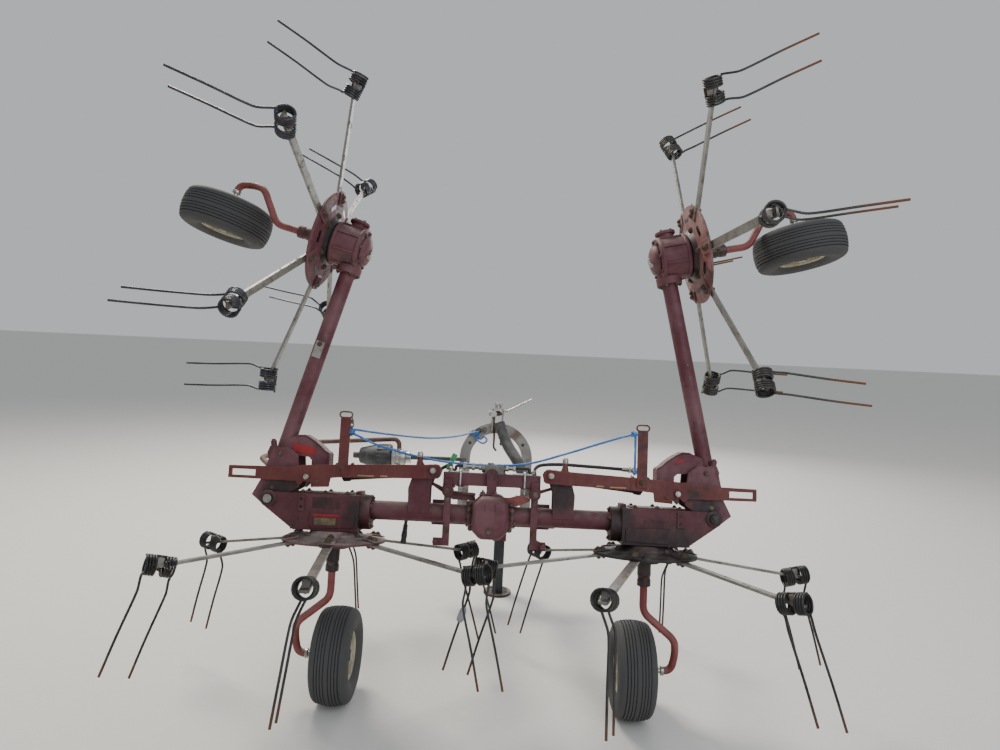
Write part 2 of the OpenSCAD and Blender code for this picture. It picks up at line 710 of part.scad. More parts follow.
leaning() color(rope_blue) bar_path(rope_tail_route, rope_d, 8, [0, 1, 0]);  // rope_tail
leaning() color(black) bar_path(hose_left_route, hose_d, 8, [0, 1, 0.03]);  // hose_left
leaning() color(black) bar_path(hose_right_route, hose_d, 8);  // hose_right
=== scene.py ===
"""Four-rotor hay tedder, parked with both wings folded up, dressed over its CAD frame."""

import logging
import math
import random
from dataclasses import dataclass, field
from enum import Enum
from typing import Any, Iterable, Optional, Sequence

import bmesh
import bpy
from bpy.types import Material, Mesh, Node, NodeOutputs, NodeSocket, NodeTree, Object
from mathutils import Matrix, Vector


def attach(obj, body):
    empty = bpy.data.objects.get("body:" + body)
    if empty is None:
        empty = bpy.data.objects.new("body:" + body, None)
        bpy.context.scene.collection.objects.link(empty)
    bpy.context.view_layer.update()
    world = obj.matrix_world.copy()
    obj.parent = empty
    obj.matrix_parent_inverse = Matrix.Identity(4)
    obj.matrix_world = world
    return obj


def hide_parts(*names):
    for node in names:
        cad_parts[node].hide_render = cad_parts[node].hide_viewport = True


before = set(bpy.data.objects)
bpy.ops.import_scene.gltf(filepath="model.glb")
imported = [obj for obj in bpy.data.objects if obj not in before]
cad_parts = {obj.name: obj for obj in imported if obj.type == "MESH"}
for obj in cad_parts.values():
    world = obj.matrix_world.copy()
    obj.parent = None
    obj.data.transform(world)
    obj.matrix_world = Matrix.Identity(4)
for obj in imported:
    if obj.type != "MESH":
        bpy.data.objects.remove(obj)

LOG = logging.getLogger("tedder")
MM = 0.001
Point = Sequence[float]
Outline = Sequence[tuple[float, float]]


# Frames


def rotated(degrees: float, axis: str) -> Matrix:
    """Matrix of a turn about an axis through the origin."""
    return Matrix.Rotation(math.radians(degrees), 4, axis)


@dataclass(frozen=True)
class Stance:
    """The sizes that place every sub-assembly, in millimetres and degrees."""

    tube_h: float = 780.0
    lean: float = 10.0
    fold_left: float = 105.5
    fold_right: float = 102.0
    hinge_x: float = 880.0
    hinge_z: float = 32.0
    top_y: float = 1110.0
    top_z: float = 470.0
    inner_x: float = 625.0
    outer_x: float = 1955.0
    rotor_drop: float = 105.0

    @property
    def tilt(self) -> float:
        """The lean in radians."""
        return math.radians(self.lean)

    def grounded(self) -> Matrix:
        """Works out where the origin, the top link's pin, stands over the ground.

        Returns:
            Matrix from the standing frame in millimetres to the row frame.
        """
        cos, sin = math.cos(self.tilt), math.sin(self.tilt)
        back = self.top_y * cos + self.top_z * sin
        down = self.tube_h + self.top_z * cos - self.top_y * sin
        return Matrix.Scale(MM, 4) @ Matrix.Translation((0.0, -back, -down))

    def leaning(self) -> Matrix:
        """Matrix from the leaning machine frame in millimetres to the row frame."""
        lift = Matrix.Translation((0.0, 0.0, self.tube_h))
        return self.grounded() @ lift @ Matrix.Rotation(-self.tilt, 4, "X")


STANCE = Stance()


@dataclass(frozen=True)
class Place:
    """Where a piece drawn in millimetres stands in the row frame."""

    matrix: Matrix
    mirrored: bool = False

    def moved(self, by: Matrix) -> "Place":
        """The place of a frame that stands at `by` in this one."""
        return Place(self.matrix @ by, self.mirrored)


class Side(Enum):
    """The machine's two halves. The left one is drawn and the right one mirrored."""

    LEFT = "left"
    RIGHT = "right"

    @property
    def letter(self) -> str:
        """The letter that the CAD nodes of this side carry."""
        return self.value[0]

    @property
    def fold(self) -> float:
        """Angle of the folded wing in radians."""
        return math.radians(STANCE.fold_left if self is Side.LEFT else STANCE.fold_right)

    def still(self) -> Place:
        """Place of what is fixed to the frame on this side."""
        if self is Side.LEFT:
            return Place(STANCE.leaning())
        return Place(STANCE.leaning() @ Matrix.Scale(-1.0, 4, (1.0, 0.0, 0.0)), True)

    def wing(self) -> Place:
        """Turns the level wing up about its hinge.

        Returns:
            Place of what is drawn on the level wing and stands folded up.
        """
        out = Matrix.Translation((-STANCE.hinge_x, 0.0, STANCE.hinge_z))
        turn = Matrix.Rotation(self.fold, 4, "Y")
        return self.still().moved(out @ turn @ out.inverted())


SIDES = (Side.LEFT, Side.RIGHT)
MIDDLE = Place(STANCE.leaning())
GROUND = Place(STANCE.grounded())


# Node helpers


def linear(code: str) -> tuple[float, float, float, float]:
    """Turns an sRGB hex code into a linear colour.

    Args:
        code: Six hex digits, with or without a leading hash.

    Returns:
        Red, green, blue and alpha in scene-linear values.
    """
    digits = code.lstrip("#")
    parts = [int(digits[i:i + 2], 16) / 255 for i in (0, 2, 4)]
    return (*[c / 12.92 if c <= 0.04045 else ((c + 0.055) / 1.055) ** 2.4 for c in parts], 1.0)


def add_node(tree: NodeTree, kind: str, settings: Optional[dict[str, Any]] = None,
             inputs: Optional[dict[Any, Any]] = None) -> Node:
    """Adds a node with its settings and links.

    Args:
        tree: The node tree that takes the node.
        kind: Blender's name of the node type.
        settings: Properties set on the node itself.
        inputs: Values or output sockets, by input name or number.

    Returns:
        The new node.
    """
    node = tree.nodes.new(kind)
    for key, value in (settings or {}).items():
        setattr(node, key, value)
    for key, value in (inputs or {}).items():
        if isinstance(value, NodeSocket):
            tree.links.new(value, node.inputs[key])
        else:
            node.inputs[key].default_value = value
    return node


# Finishes


@dataclass(frozen=True)
class Finish:
    """A surface finish. Subclasses say what it looks like, and each is made once."""

    name: str

    @property
    def material(self) -> Material:
        """Makes the Blender material when it is first asked for.

        Returns:
            The material of this finish's name.
        """
        found = bpy.data.materials.get(self.name)
        if found is None:
            found = bpy.data.materials.new(self.name)
            found.use_nodes = True
            tree = found.node_tree
            tree.nodes.clear()
            shader = add_node(tree, "ShaderNodeBsdfPrincipled")
            add_node(tree, "ShaderNodeOutputMaterial", inputs={"Surface": shader.outputs[0]})
            self.draw(tree, shader)
        return found

    def draw(self, tree: NodeTree, shader: Node) -> None:
        """Sets the shader up. Each finish has its own way.

        Args:
            tree: The material's tree.
            shader: Its principled shader.
        """
        raise NotImplementedError

    @staticmethod
    def noise(tree: NodeTree, size_mm: float, detail: float = 4.0,
              stretch: Point = (1.0, 1.0, 1.0), offset: float = 0.0) -> NodeSocket:
        """Cloudy pattern on Object coordinates.

        Args:
            tree: The material's tree.
            size_mm: Size of one cloud.
            detail: Octaves of detail.
            stretch: Scale of the pattern along each axis.
            offset: Shift, so that two patterns of one size differ.

        Returns:
            The pattern's value socket, from 0 to 1.
        """
        where = add_node(tree, "ShaderNodeTexCoord").outputs["Object"]
        turned = add_node(tree, "ShaderNodeMapping", inputs={
            "Vector": where, "Scale": tuple(stretch), "Location": (offset, offset * 0.7, offset * 1.3)})
        cloud = add_node(tree, "ShaderNodeTexNoise", inputs={
            "Vector": turned.outputs[0], "Scale": 1000.0 / size_mm, "Detail": detail, "Roughness": 0.6})
        return cloud.outputs["Fac"]

    @staticmethod
    def band(tree: NodeTree, value: NodeSocket, low: float, high: float,
             top: float = 1.0) -> NodeSocket:
        """Spreads the part of a value from low to high over 0 to top, clamped."""
        node = add_node(tree, "ShaderNodeMapRange", {"interpolation_type": "SMOOTHSTEP"}, {
            "Value": value, "From Min": low, "From Max": high, "To Min": 0.0, "To Max": top})
        return node.outputs[0]

    @staticmethod
    def over(tree: NodeTree, share: Any, under: Any, colour: Any) -> NodeSocket:
        """Lays one colour over another by a share, which may be a socket or a number."""
        node = add_node(tree, "ShaderNodeMix", {"data_type": "RGBA"}, {0: share, 6: under, 7: colour})
        return node.outputs[2]

    @staticmethod
    def times(tree: NodeTree, a: Any, b: Any, how: str = "MULTIPLY") -> NodeSocket:
        """Combines two values, multiplied unless another operation is named."""
        return add_node(tree, "ShaderNodeMath", {"operation": how}, {0: a, 1: b}).outputs[0]

    @staticmethod
    def edges(tree: NodeTree, radius_mm: float) -> tuple[Any, Any]:
        """Finds the edges of a piece, by how far a rounded normal leans from the true one.

        Args:
            tree: The material's tree.
            radius_mm: Radius of the rounding.

        Returns:
            The share that is edge, from 0 to 1, and the rounded normal.
        """
        soft = add_node(tree, "ShaderNodeBevel", {"samples": 4}, {"Radius": radius_mm * MM}).outputs[0]
        true = add_node(tree, "ShaderNodeNewGeometry").outputs["Normal"]
        near = add_node(tree, "ShaderNodeVectorMath", {"operation": "DOT_PRODUCT"}, {0: soft, 1: true})
        lean = Finish.times(tree, 1.0, near.outputs["Value"], "SUBTRACT")
        return Finish.band(tree, lean, 0.015, 0.12), soft


@dataclass(frozen=True)
class WeatheredEnamel(Finish):
    """Sprayed enamel left out of doors. It chalks to a paler tone, dust lies on its upper faces,
    rust breaks through at edges and chips, and grease darkens it near bearings."""

    paint: str = "#4c1a24"
    faded: str = "#5f353b"
    dust: str = "#746860"
    rust: str = "#5c301f"
    edge: str = "#7d4232"
    grease: str = "#1d1816"
    greasy: float = 0.15
    dusty: float = 0.4
    edge_wear: float = 0.6
    gloss: float = 0.45
    patch_mm: float = 170.0
    oil: tuple[tuple[float, float, float, float], ...] = ()

    def stains(self, tree: NodeTree) -> NodeSocket:
        """Ragged oil stains round the places given in row metres with a radius each.

        Args:
            tree: The material's tree.

        Returns:
            The share of stain, from 0 to 0.85.
        """
        where = add_node(tree, "ShaderNodeTexCoord").outputs["Object"]
        ragged = self.times(tree, self.noise(tree, 38, 5.0, offset=1.0), 0.9)
        total: Any = 0.0
        for x, y, z, radius in self.oil:
            far = add_node(tree, "ShaderNodeVectorMath", {"operation": "DISTANCE"}, {0: where, 1: (x, y, z)})
            share = self.times(tree, self.times(tree, far.outputs["Value"], 1 / radius), ragged, "ADD")
            stain = self.times(tree, 1.0, self.band(tree, share, 0.75, 1.35), "SUBTRACT")
            total = self.times(tree, total, stain, "MAXIMUM")
        return self.times(tree, total, 0.85)

    def draw(self, tree: NodeTree, shader: Node) -> None:
        """Paint, chalked patches, dust, grease film, chips and edge rust, in that order.

        Args:
            tree: The material's tree.
            shader: Its principled shader.
        """
        fade = self.band(tree, self.noise(tree, self.patch_mm), 0.35, 0.68)
        colour = self.over(tree, fade, linear(self.paint), linear(self.faded))
        # rain streaks run down the sides, about 12 mm wide and ten times as long
        streak = self.band(tree, self.noise(tree, 12, 3.0, (1.0, 1.0, 0.1), 2.0), 0.52, 0.8, 0.14)
        colour = self.over(tree, streak, colour, linear(self.dust))
        up = add_node(tree, "ShaderNodeSeparateXYZ", inputs={
            0: add_node(tree, "ShaderNodeNewGeometry").outputs["Normal"]}).outputs["Z"]
        settled = self.times(tree, self.band(tree, up, 0.15, 0.95, self.dusty * 1.6),
                             self.band(tree, self.noise(tree, 45, 5.0, offset=5.0), 0.25, 0.65))
        colour = self.over(tree, settled, colour, linear(self.dust))
        film = self.band(tree, self.noise(tree, 110, 4.0, offset=9.0), 0.62 - 0.3 * self.greasy,
                         0.72 - 0.2 * self.greasy, min(1.0, 0.35 + self.greasy))
        if self.oil:
            film = self.times(tree, film, self.stains(tree), "MAXIMUM")
        colour = self.over(tree, film, colour, linear(self.grease))
        speck = self.noise(tree, 7, 6.0, offset=3.0)
        chip = self.band(tree, speck, 0.67, 0.71)
        colour = self.over(tree, chip, colour, linear(self.rust))
        edge, rounded = self.edges(tree, 2.5)
        worn = self.times(tree, edge, self.band(tree, self.noise(tree, 30, 5.0, offset=7.0), 0.38, 0.62,
                                                self.edge_wear))
        colour = self.over(tree, worn, colour, linear(self.edge))
        grain = self.times(tree, self.noise(tree, 2.2, 3.0), self.times(tree, chip, -1.5), "ADD")
        bump = add_node(tree, "ShaderNodeBump", inputs={
            "Strength": 0.22, "Distance": 0.0006, "Height": grain, "Normal": rounded})
        rough = self.times(tree, self.band(tree, self.noise(tree, 25, 5.0, offset=4.0), 0.2, 0.8, 0.25),
                           self.gloss, "ADD")
        rough = self.times(tree, rough, self.times(tree, settled, 0.25), "ADD")
        tree.links.new(colour, shader.inputs["Base Color"])
        tree.links.new(rough, shader.inputs["Roughness"])
        tree.links.new(bump.outputs[0], shader.inputs["Normal"])
        shader.inputs["IOR"].default_value = 1.5


@dataclass(frozen=True)
class WornSteel(Finish):
    """Rolled or forged steel without paint. Where it is bare it is a metal with a dull sheen, and
    where it has rusted it turns matt brown."""

    steel: str = "#8d8a84"
    rust: str = "#6a4128"
    scale: str = "#4a4440"
    rusty: float = 0.4
    gloss: float = 0.38
    metal: float = 0.85
    grain_mm: float = 1.6
    tips: str = ""
    tip_share: float = 0.2

    def draw(self, tree: NodeTree, shader: Node) -> None:
        """Bare steel, mill scale, rust in patches and along edges, and rusty tips by attribute.

        Args:
            tree: The material's tree.
            shader: Its principled shader.
        """
        scale = self.band(tree, self.noise(tree, 60, 4.0), 0.4, 0.7, 0.7)
        colour = self.over(tree, scale, linear(self.steel), linear(self.scale))
        cloud = self.noise(tree, 35, 6.0, offset=6.0)
        bloom = self.band(tree, cloud, 0.66 - 0.28 * self.rusty, 0.76 - 0.22 * self.rusty)
        edge, rounded = self.edges(tree, 2.0)
        bloom = self.times(tree, bloom, self.times(tree, edge, min(1.0, self.rusty * 1.2)), "MAXIMUM")
        if self.tips:
            tip = add_node(tree, "ShaderNodeAttribute", {"attribute_name": "tip"}).outputs["Fac"]
            ragged = self.times(tree, tip, self.times(tree, self.noise(tree, 18, 4.0), 0.5), "ADD")
            end = self.band(tree, ragged, 1.2 - self.tip_share, 1.45 - self.tip_share)
            colour = self.over(tree, bloom, colour, linear(self.rust))
            colour = self.over(tree, end, colour, linear(self.tips))
            bloom = self.times(tree, bloom, end, "MAXIMUM")
        else:
            tint = self.over(tree, self.band(tree, self.noise(tree, 9, 5.0), 0.3, 0.7),
                             linear(self.rust), linear(self.scale))
            colour = self.over(tree, bloom, colour, tint)
        metal = self.times(tree, self.times(tree, 1.0, bloom, "SUBTRACT"), self.metal)
        rough = self.times(tree, self.times(tree, bloom, 0.4), self.gloss, "ADD")
        bump = add_node(tree, "ShaderNodeBump", inputs={
            "Strength": 0.3, "Distance": 0.0005, "Height": self.noise(tree, self.grain_mm, 4.0),
            "Normal": rounded})
        tree.links.new(colour, shader.inputs["Base Color"])
        tree.links.new(metal, shader.inputs["Metallic"])
        tree.links.new(rough, shader.inputs["Roughness"])
        tree.links.new(bump.outputs[0], shader.inputs["Normal"])


@dataclass(frozen=True)
class PlatedSteel(Finish):
    """Zinc or chrome plate: a clean metal whose shine breaks in fine smears."""

    tone: str = "#bdbbb4"
    smear: str = "#7d7a72"
    gloss: float = 0.3

    def draw(self, tree: NodeTree, shader: Node) -> None:
        """Plate with dull smears, about 15 mm across.

        Args:
            tree: The material's tree.
            shader: Its principled shader.
        """
        dull = self.band(tree, self.noise(tree, 15, 5.0), 0.4, 0.75, 0.7)
        colour = self.over(tree, dull, linear(self.tone), linear(self.smear))
        rough = self.times(tree, self.times(tree, dull, 0.35), self.gloss, "ADD")
        tree.links.new(colour, shader.inputs["Base Color"])
        tree.links.new(rough, shader.inputs["Roughness"])
        shader.inputs["Metallic"].default_value = 1.0


@dataclass(frozen=True)
class Moulded(Finish):
    """Rubber or plastic from a mould: matt, fine-grained, paler in sun-bleached dusty patches, and paler on
    its upper faces from settled dust and painted light from above.
    """

    tone: str = "#232324"
    bloom: str = "#4b4a47"
    dusty: float = 0.4
    gloss: float = 0.6
    grain_mm: float = 1.2
    ior: float = 1.5
    mirror: float = 0.5

    def draw(self, tree: NodeTree, shader: Node) -> None:
        """Moulded skin with a bloom of dust in cloudy patches, and paler upper faces, which are settled dust
        and partly painted light from above.

        Args:
            tree: The material's tree.
            shader: Its principled shader.
        """
        up = add_node(tree, "ShaderNodeSeparateXYZ", inputs={
            0: add_node(tree, "ShaderNodeNewGeometry").outputs["Normal"]}).outputs["Z"]
        cloud = self.noise(tree, 40, 5.0)
        # paler on upward faces: settled dust and partly painted light from above, with the cloudy dust
        # patches added on
        share = self.times(tree, self.band(tree, cloud, 0.35, 0.7, self.dusty),
                           self.band(tree, up, 0.2, 1.0, self.dusty), "ADD")
        colour = self.over(tree, share, linear(self.tone), linear(self.bloom))
        bump = add_node(tree, "ShaderNodeBump", inputs={
            "Strength": 0.25, "Distance": 0.0004, "Height": self.noise(tree, self.grain_mm, 3.0)})
        rough = self.times(tree, self.times(tree, share, 0.25), self.gloss, "ADD")
        tree.links.new(colour, shader.inputs["Base Color"])
        tree.links.new(rough, shader.inputs["Roughness"])
        tree.links.new(bump.outputs[0], shader.inputs["Normal"])
        shader.inputs["IOR"].default_value = self.ior
        shader.inputs["Specular IOR Level"].default_value = self.mirror


@dataclass(frozen=True)
class LaidRope(Finish):
    """Laid polypropylene rope: three hard-twisted bright strands, with painted shade as dark lines in the
    creases between them.
    """

    tone: str = "#2b78c8"
    crease_shade: str = "#123a6e"
    pale: str = "#7fb4e2"
    lay_mm: float = 30.0

    def draw(self, tree: NodeTree, shader: Node) -> None:
        """Slanting stripes on the tube's UV map, where U runs along it in metres.

        Args:
            tree: The material's tree.
            shader: Its principled shader.
        """
        uv = add_node(tree, "ShaderNodeSeparateXYZ", inputs={
            0: add_node(tree, "ShaderNodeUVMap", {"uv_map": "UVMap"}).outputs[0]})
        turn = self.times(tree, uv.outputs["X"], 1000.0 / self.lay_mm)
        phase = self.times(tree, self.times(tree, turn, uv.outputs["Y"], "ADD"), 6 * math.pi)
        wave = self.times(tree, phase, 0.0, "SINE")
        # painted shade: darker blue in the creases between the strands, where the twist wave runs low
        crease_shade_share = self.band(tree, wave, -1.0, -0.3)
        colour = self.over(tree, crease_shade_share, linear(self.crease_shade), linear(self.tone))
        colour = self.over(tree, self.band(tree, self.noise(tree, 30, 4.0), 0.5, 0.75, 0.5), colour,
                           linear(self.pale))
        bump = add_node(tree, "ShaderNodeBump", inputs={"Strength": 0.6, "Distance": 0.001, "Height": wave})
        tree.links.new(colour, shader.inputs["Base Color"])
        tree.links.new(bump.outputs[0], shader.inputs["Normal"])
        shader.inputs["Roughness"].default_value = 0.5
        shader.inputs["Sheen Weight"].default_value = 0.2


# Maroon enamel, sprayed and baked by the sun to a dull wine red
MAROON = WeatheredEnamel("maroon_enamel")
# The same enamel on the near faces of booms and tubes, more chalked
CHALKED = WeatheredEnamel("chalked_enamel", paint="#54212b", faded="#6c454a", dusty=0.4)
# Booms and their brackets, with old oil round the fold pins
BOOM_RED = WeatheredEnamel("boom_enamel", paint="#54212b", faded="#6c454a", dusty=0.4, oil=(
    (-0.85, -1.225, -0.20, 0.10), (0.85, -1.225, -0.19, 0.10), (-0.76, -1.215, -0.16, 0.07)))
# Main tube, its right upright dark with oil
TUBE_RED = WeatheredEnamel("tube_enamel", paint="#4f1c26", faded="#64393f", dusty=0.4, oil=(
    (0.28, -1.20, -0.17, 0.10), (0.235, -1.20, -0.12, 0.06), (0.50, -1.20, -0.28, 0.06),
    (-0.50, -1.20, -0.28, 0.06)))
# Sun-bleached enamel of the transport links, orange-red at its edges, from rubbed wear and partly a painted
# highlight along the lit edges
LINK_RED = WeatheredEnamel("link_enamel", paint="#571d1d", faded="#64302b", edge="#c25c38",
                           edge_wear=0.95, rust="#6e3a22", gloss=0.48, greasy=0.25, dusty=0.3, oil=(
                               (-0.235, -1.25, -0.10, 0.05), (0.80, -1.25, -0.13, 0.05)))
# Leg bars, a lighter salmon where the grass polished them
SALMON = WeatheredEnamel("leg_enamel", paint="#6f2c2c", faded="#8a4f4a", edge="#6a3c28", dusty=0.3)
# Enamel under old grease and chaff round the bearings
GREASY = WeatheredEnamel("greasy_enamel", paint="#34191d", faded="#46302f", greasy=0.75, gloss=0.32,
                         dusty=0.5, dust="#655b52")
# The left gear housing
HOUSING_RED = WeatheredEnamel("housing_enamel", paint="#4a1820", faded="#5c3034", greasy=0.2, oil=(
    (-0.535, -1.23, -0.30, 0.07), (-0.535, -1.23, -0.25, 0.06), (-0.88, -1.24, -0.23, 0.05)))
# The right gear housing, black with oil along its foot and at its flange
OILY_HOUSING = WeatheredEnamel("oily_housing_enamel", paint="#4d1a22", faded="#5a2c30", greasy=0.3,
                               dusty=0.3, oil=tuple(
                                   (x, -1.23, z, r) for x, z, r in (
                                       (0.53, -0.31, 0.13), (0.53, -0.24, 0.08), (0.60, -0.35, 0.15),
                                       (0.68, -0.35, 0.15), (0.76, -0.35, 0.14), (0.88, -0.22, 0.07))))
# The dusty left disc, still maroon
DUSTY_DISC = WeatheredEnamel("dusty_disc_enamel", paint="#532f33", faded="#6b4c4e", dusty=0.85,
                             dust="#877a74", greasy=0.25)
# The right disc, black with oil and dust
OILY_DISC = WeatheredEnamel("oily_disc_enamel", paint="#222021", faded="#333030", dusty=0.5,
                            dust="#5f5a54", greasy=0.8, edge="#8d8880")
# The right wing's disc, its face bleached to salmon pink
PINK_DISC = WeatheredEnamel("bleached_disc_enamel", paint="#744443", faded="#90706a", dusty=0.3,
                            greasy=0.35)
# Rusty brown bar of the guard hoop
HOOP_BROWN = WeatheredEnamel("rusty_hoop_enamel", paint="#4e2e28", faded="#6b4a40", rust="#7a4630",
                             edge="#7a4e36", patch_mm=90)
# Bright red enamel: patches that the sun did not reach, and on the right fold bracket a painted highlight
# where the sun glints
FRESH_RED = WeatheredEnamel("fresh_red_enamel", paint="#8a151b", faded="#952323", dusty=0.15,
                            greasy=0.05, edge_wear=0.2)
# Dark square where a decal has gone, its glue full of dirt
OLD_GLUE = WeatheredEnamel("old_glue", paint="#3c1a1f", faded="#4a2a2d", greasy=0.3, dusty=0.2,
                           gloss=0.55, patch_mm=40)
# Rest of a plain film, yellowed and torn, with nothing on it
OLD_FILM = WeatheredEnamel("old_film", paint="#6f6346", faded="#4f4436", rust="#3d2224", dusty=0.2,
                           greasy=0.45, gloss=0.5, patch_mm=25)
# Pale strips on the links' webs: painted highlight where light catches the slots in the web, in a worn
# primer tone
SLOT_HIGHLIGHT = WeatheredEnamel("painted_slot_highlight", paint="#8f6d4a", faded="#a8875f", dusty=0.2, greasy=0.1,
                         rust="#6a3d22")
# Black enamel of the cylinders
BARREL_BLACK = WeatheredEnamel("black_enamel", paint="#18181a", faded="#262524", dust="#4d4943",
                               edge="#4e3a2e", gloss=0.35)
# Dark gray enamel of the stand
STAND_GRAY = WeatheredEnamel("stand_enamel", paint="#23262a", faded="#33373a", dust="#5a564e",
                             edge="#573f2e", dusty=0.45)
# Silver-gray paint of the headstock, rust coming through
SILVER_PAINT = WeatheredEnamel("silver_enamel", paint="#888782", faded="#a3a097", dust="#7d705e",
                               rust="#71432a", edge="#84502f", grease="#70492f", greasy=0.34,
                               gloss=0.42, edge_wear=0.85)
# Cream enamel of the rims, chipped and stained
RIM_CREAM = WeatheredEnamel("rim_enamel", paint="#a59e86", faded="#bdb7a0", dust="#857a64",
                            edge="#7d5a3c", greasy=0.1, gloss=0.45, patch_mm=60)
# Hot-rolled flat bar of the arms, wiped bright by the hay, brown on its edges
ARM_STEEL = WornSteel("hay_polished_bar", steel="#8b8882", scale="#625e57", rust="#665039", rusty=0.38,
                      gloss=0.42, metal=0.65)
# Oil-tempered spring wire, black with a reddish brown tip
SPRING_WIRE = WornSteel("spring_wire", steel="#3c3b3a", scale="#262524", rust="#3d322b", rusty=0.2,
                        gloss=0.38, metal=0.7, tips="#5e3a2a")
# The same wire on the left wing, blue-gray to its ends
CLEAN_WIRE = WornSteel("clean_spring_wire", steel="#4a4b50", scale="#2a2a2c", rusty=0.1, gloss=0.36,
                       metal=0.75)
# The same wire on the right wing, rusted over half its length
RUSTY_WIRE = WornSteel("rusty_spring_wire", steel="#484745", scale="#2d2c2a", rust="#4a382b", rusty=0.35,
                       gloss=0.42, metal=0.65, tips="#6b4329", tip_share=0.42)
# Cast block on the channel, dull with dust and oil
DULL_CASTING = WornSteel("dull_casting", steel="#8a8983", scale="#5b5954", rusty=0.3, gloss=0.45,
                         grain_mm=3.0)
# Turned or forged fittings
BRIGHT_STEEL = WornSteel("turned_steel", steel="#a5a39c", scale="#77746d", rusty=0.2, gloss=0.3)
# Nuts of the right wing, black with grease
GREASY_NUT = WornSteel("greasy_nut_steel", steel="#4a4744", scale="#1d1b1a", rusty=0.3, gloss=0.25)
# Brown rusty bolts and clamps
RUSTY_STEEL = WornSteel("rusty_bolt_steel", steel="#6e675e", scale="#4a4038", rust="#5c3c2a",
                        rusty=0.85, gloss=0.5, metal=0.6)
# Cast joint of the drive shaft, bright silver
CASTING = WornSteel("silver_casting", steel="#b9b9b6", scale="#8f8f8b", rusty=0.12, gloss=0.4,
                    grain_mm=3.0)
# Zinc plate of bolts and couplers
ZINC = PlatedSteel("zinc_plate")
# Hard chrome of the cylinder rods
CHROME = PlatedSteel("hard_chrome", tone="#d6d6d4", smear="#a9a8a4", gloss=0.08)
# Tyre rubber, vulcanised, dusty in its grooves, its upper faces paler with dust and partly painted light
# from above
TYRE_RUBBER = Moulded("tyre_rubber", tone="#0c0c0c", bloom="#2c2924", dusty=0.35, gloss=0.78, ior=1.52,
                      mirror=0.22)
# Hose cover, smooth extruded rubber
HOSE_RUBBER = Moulded("hose_rubber", tone="#151516", bloom="#3c3b39", dusty=0.3, gloss=0.5, ior=1.52)
# Blown polyethylene guard, black gone gray
GUARD_PLASTIC = Moulded("guard_polyethylene", tone="#2c2c2d", bloom="#656562", dusty=0.5, gloss=0.48,
                        ior=1.54, grain_mm=2.0)
# Near-black painted shade for holes and slots: dark discs and ovals set where the openings would show shade
HOLE_SHADE = Moulded("painted_hole_shade", tone="#0e0d0c", bloom="#2b2723", dusty=0.35, gloss=0.22, grain_mm=4.0,
                 ior=1.47)
# Green moulded dust cap
GREEN_CAP = Moulded("green_polyethylene", tone="#1f8f46", bloom="#4aa567", dusty=0.2, gloss=0.4, ior=1.54)
# Twisted blue polypropylene
BLUE_ROPE = LaidRope("blue_polypropylene")


# Mesh making


def bend(corners: Sequence[Point], radius: float, steps: int = 8) -> list[Vector]:
    """Rounds the corners of a path, each by the same arc as in the part's source.

    Args:
        corners: The path's corner points.
        radius: Length that the arc takes from each leg.
        steps: Pieces of each arc.

    Returns:
        Points of the smooth path.
    """
    p = [Vector(c) for c in corners]
    path = [p[0]]
    for before, here, after in zip(p, p[1:], p[2:]):
        start = here + (before - here).normalized() * radius
        end = here + (after - here).normalized() * radius
        for s in range(steps + 1):
            t = s / steps
            path.append((1 - t) ** 2 * start + 2 * t * (1 - t) * here + t * t * end)
    return path + [p[-1]]


def through(points: Sequence[Point], count: int) -> list[Vector]:
    """Smooth curve through given points, for what hangs or bends freely.

    Args:
        points: Points that the curve passes.
        count: Pieces of the curve between two points.

    Returns:
        Points along the curve.
    """
    p = [Vector(c) for c in points]
    full = [p[0] * 2 - p[1], *p, p[-1] * 2 - p[-2]]
    path = []
    for a, b, c, d in zip(full, full[1:], full[2:], full[3:]):
        knot = [0.0]
        for one, two in ((a, b), (b, c), (c, d)):
            knot.append(knot[-1] + max(1e-6, (two - one).length) ** 0.5)
        for s in range(count):
            t = knot[1] + (knot[2] - knot[1]) * s / count
            row = [a, b, c, d]
            for spans in (((0, 1), (1, 2), (2, 3)), ((0, 2), (1, 3)), ((1, 2),)):
                row = [row[i] * ((knot[high] - t) / (knot[high] - knot[low]))
                       + row[i + 1] * ((t - knot[low]) / (knot[high] - knot[low]))
                       for i, (low, high) in enumerate(spans)]
            path.append(row[0])
    return path + [p[-1]]


def around(radius: float, count: int, start: float = 0.0) -> list[tuple[float, float]]:
    """Points spaced evenly round a circle."""
    turn = [math.radians(start) + math.tau * k / count for k in range(count)]
    return [(radius * math.cos(a), radius * math.sin(a)) for a in turn]


def oval(length: float, width: float, steps: int = 6) -> list[tuple[float, float]]:
    """Outline of a slot with round ends, its middle at the origin.

    Args:
        length: Its length over the ends, in X.
        width: Its width, in Z.
        steps: Pieces of each end's arc.

    Returns:
        Its corners.
    """
    reach, r = (length - width) / 2, width / 2
    turn = [-90 + 180 * k / steps for k in range(steps + 1)]
    right = [(reach + r * math.cos(math.radians(a)), r * math.sin(math.radians(a))) for a in turn]
    return right + [(-x, -z) for x, z in right]


def chamfered(radius: float, length: float, c: float) -> list[tuple[float, float]]:
    """Radius and height of the corners of a rod whose ends have a chamfer of width c."""
    return [(0, 0), (radius - c, 0), (radius, c), (radius, length - c), (radius - c, length), (0, length)]


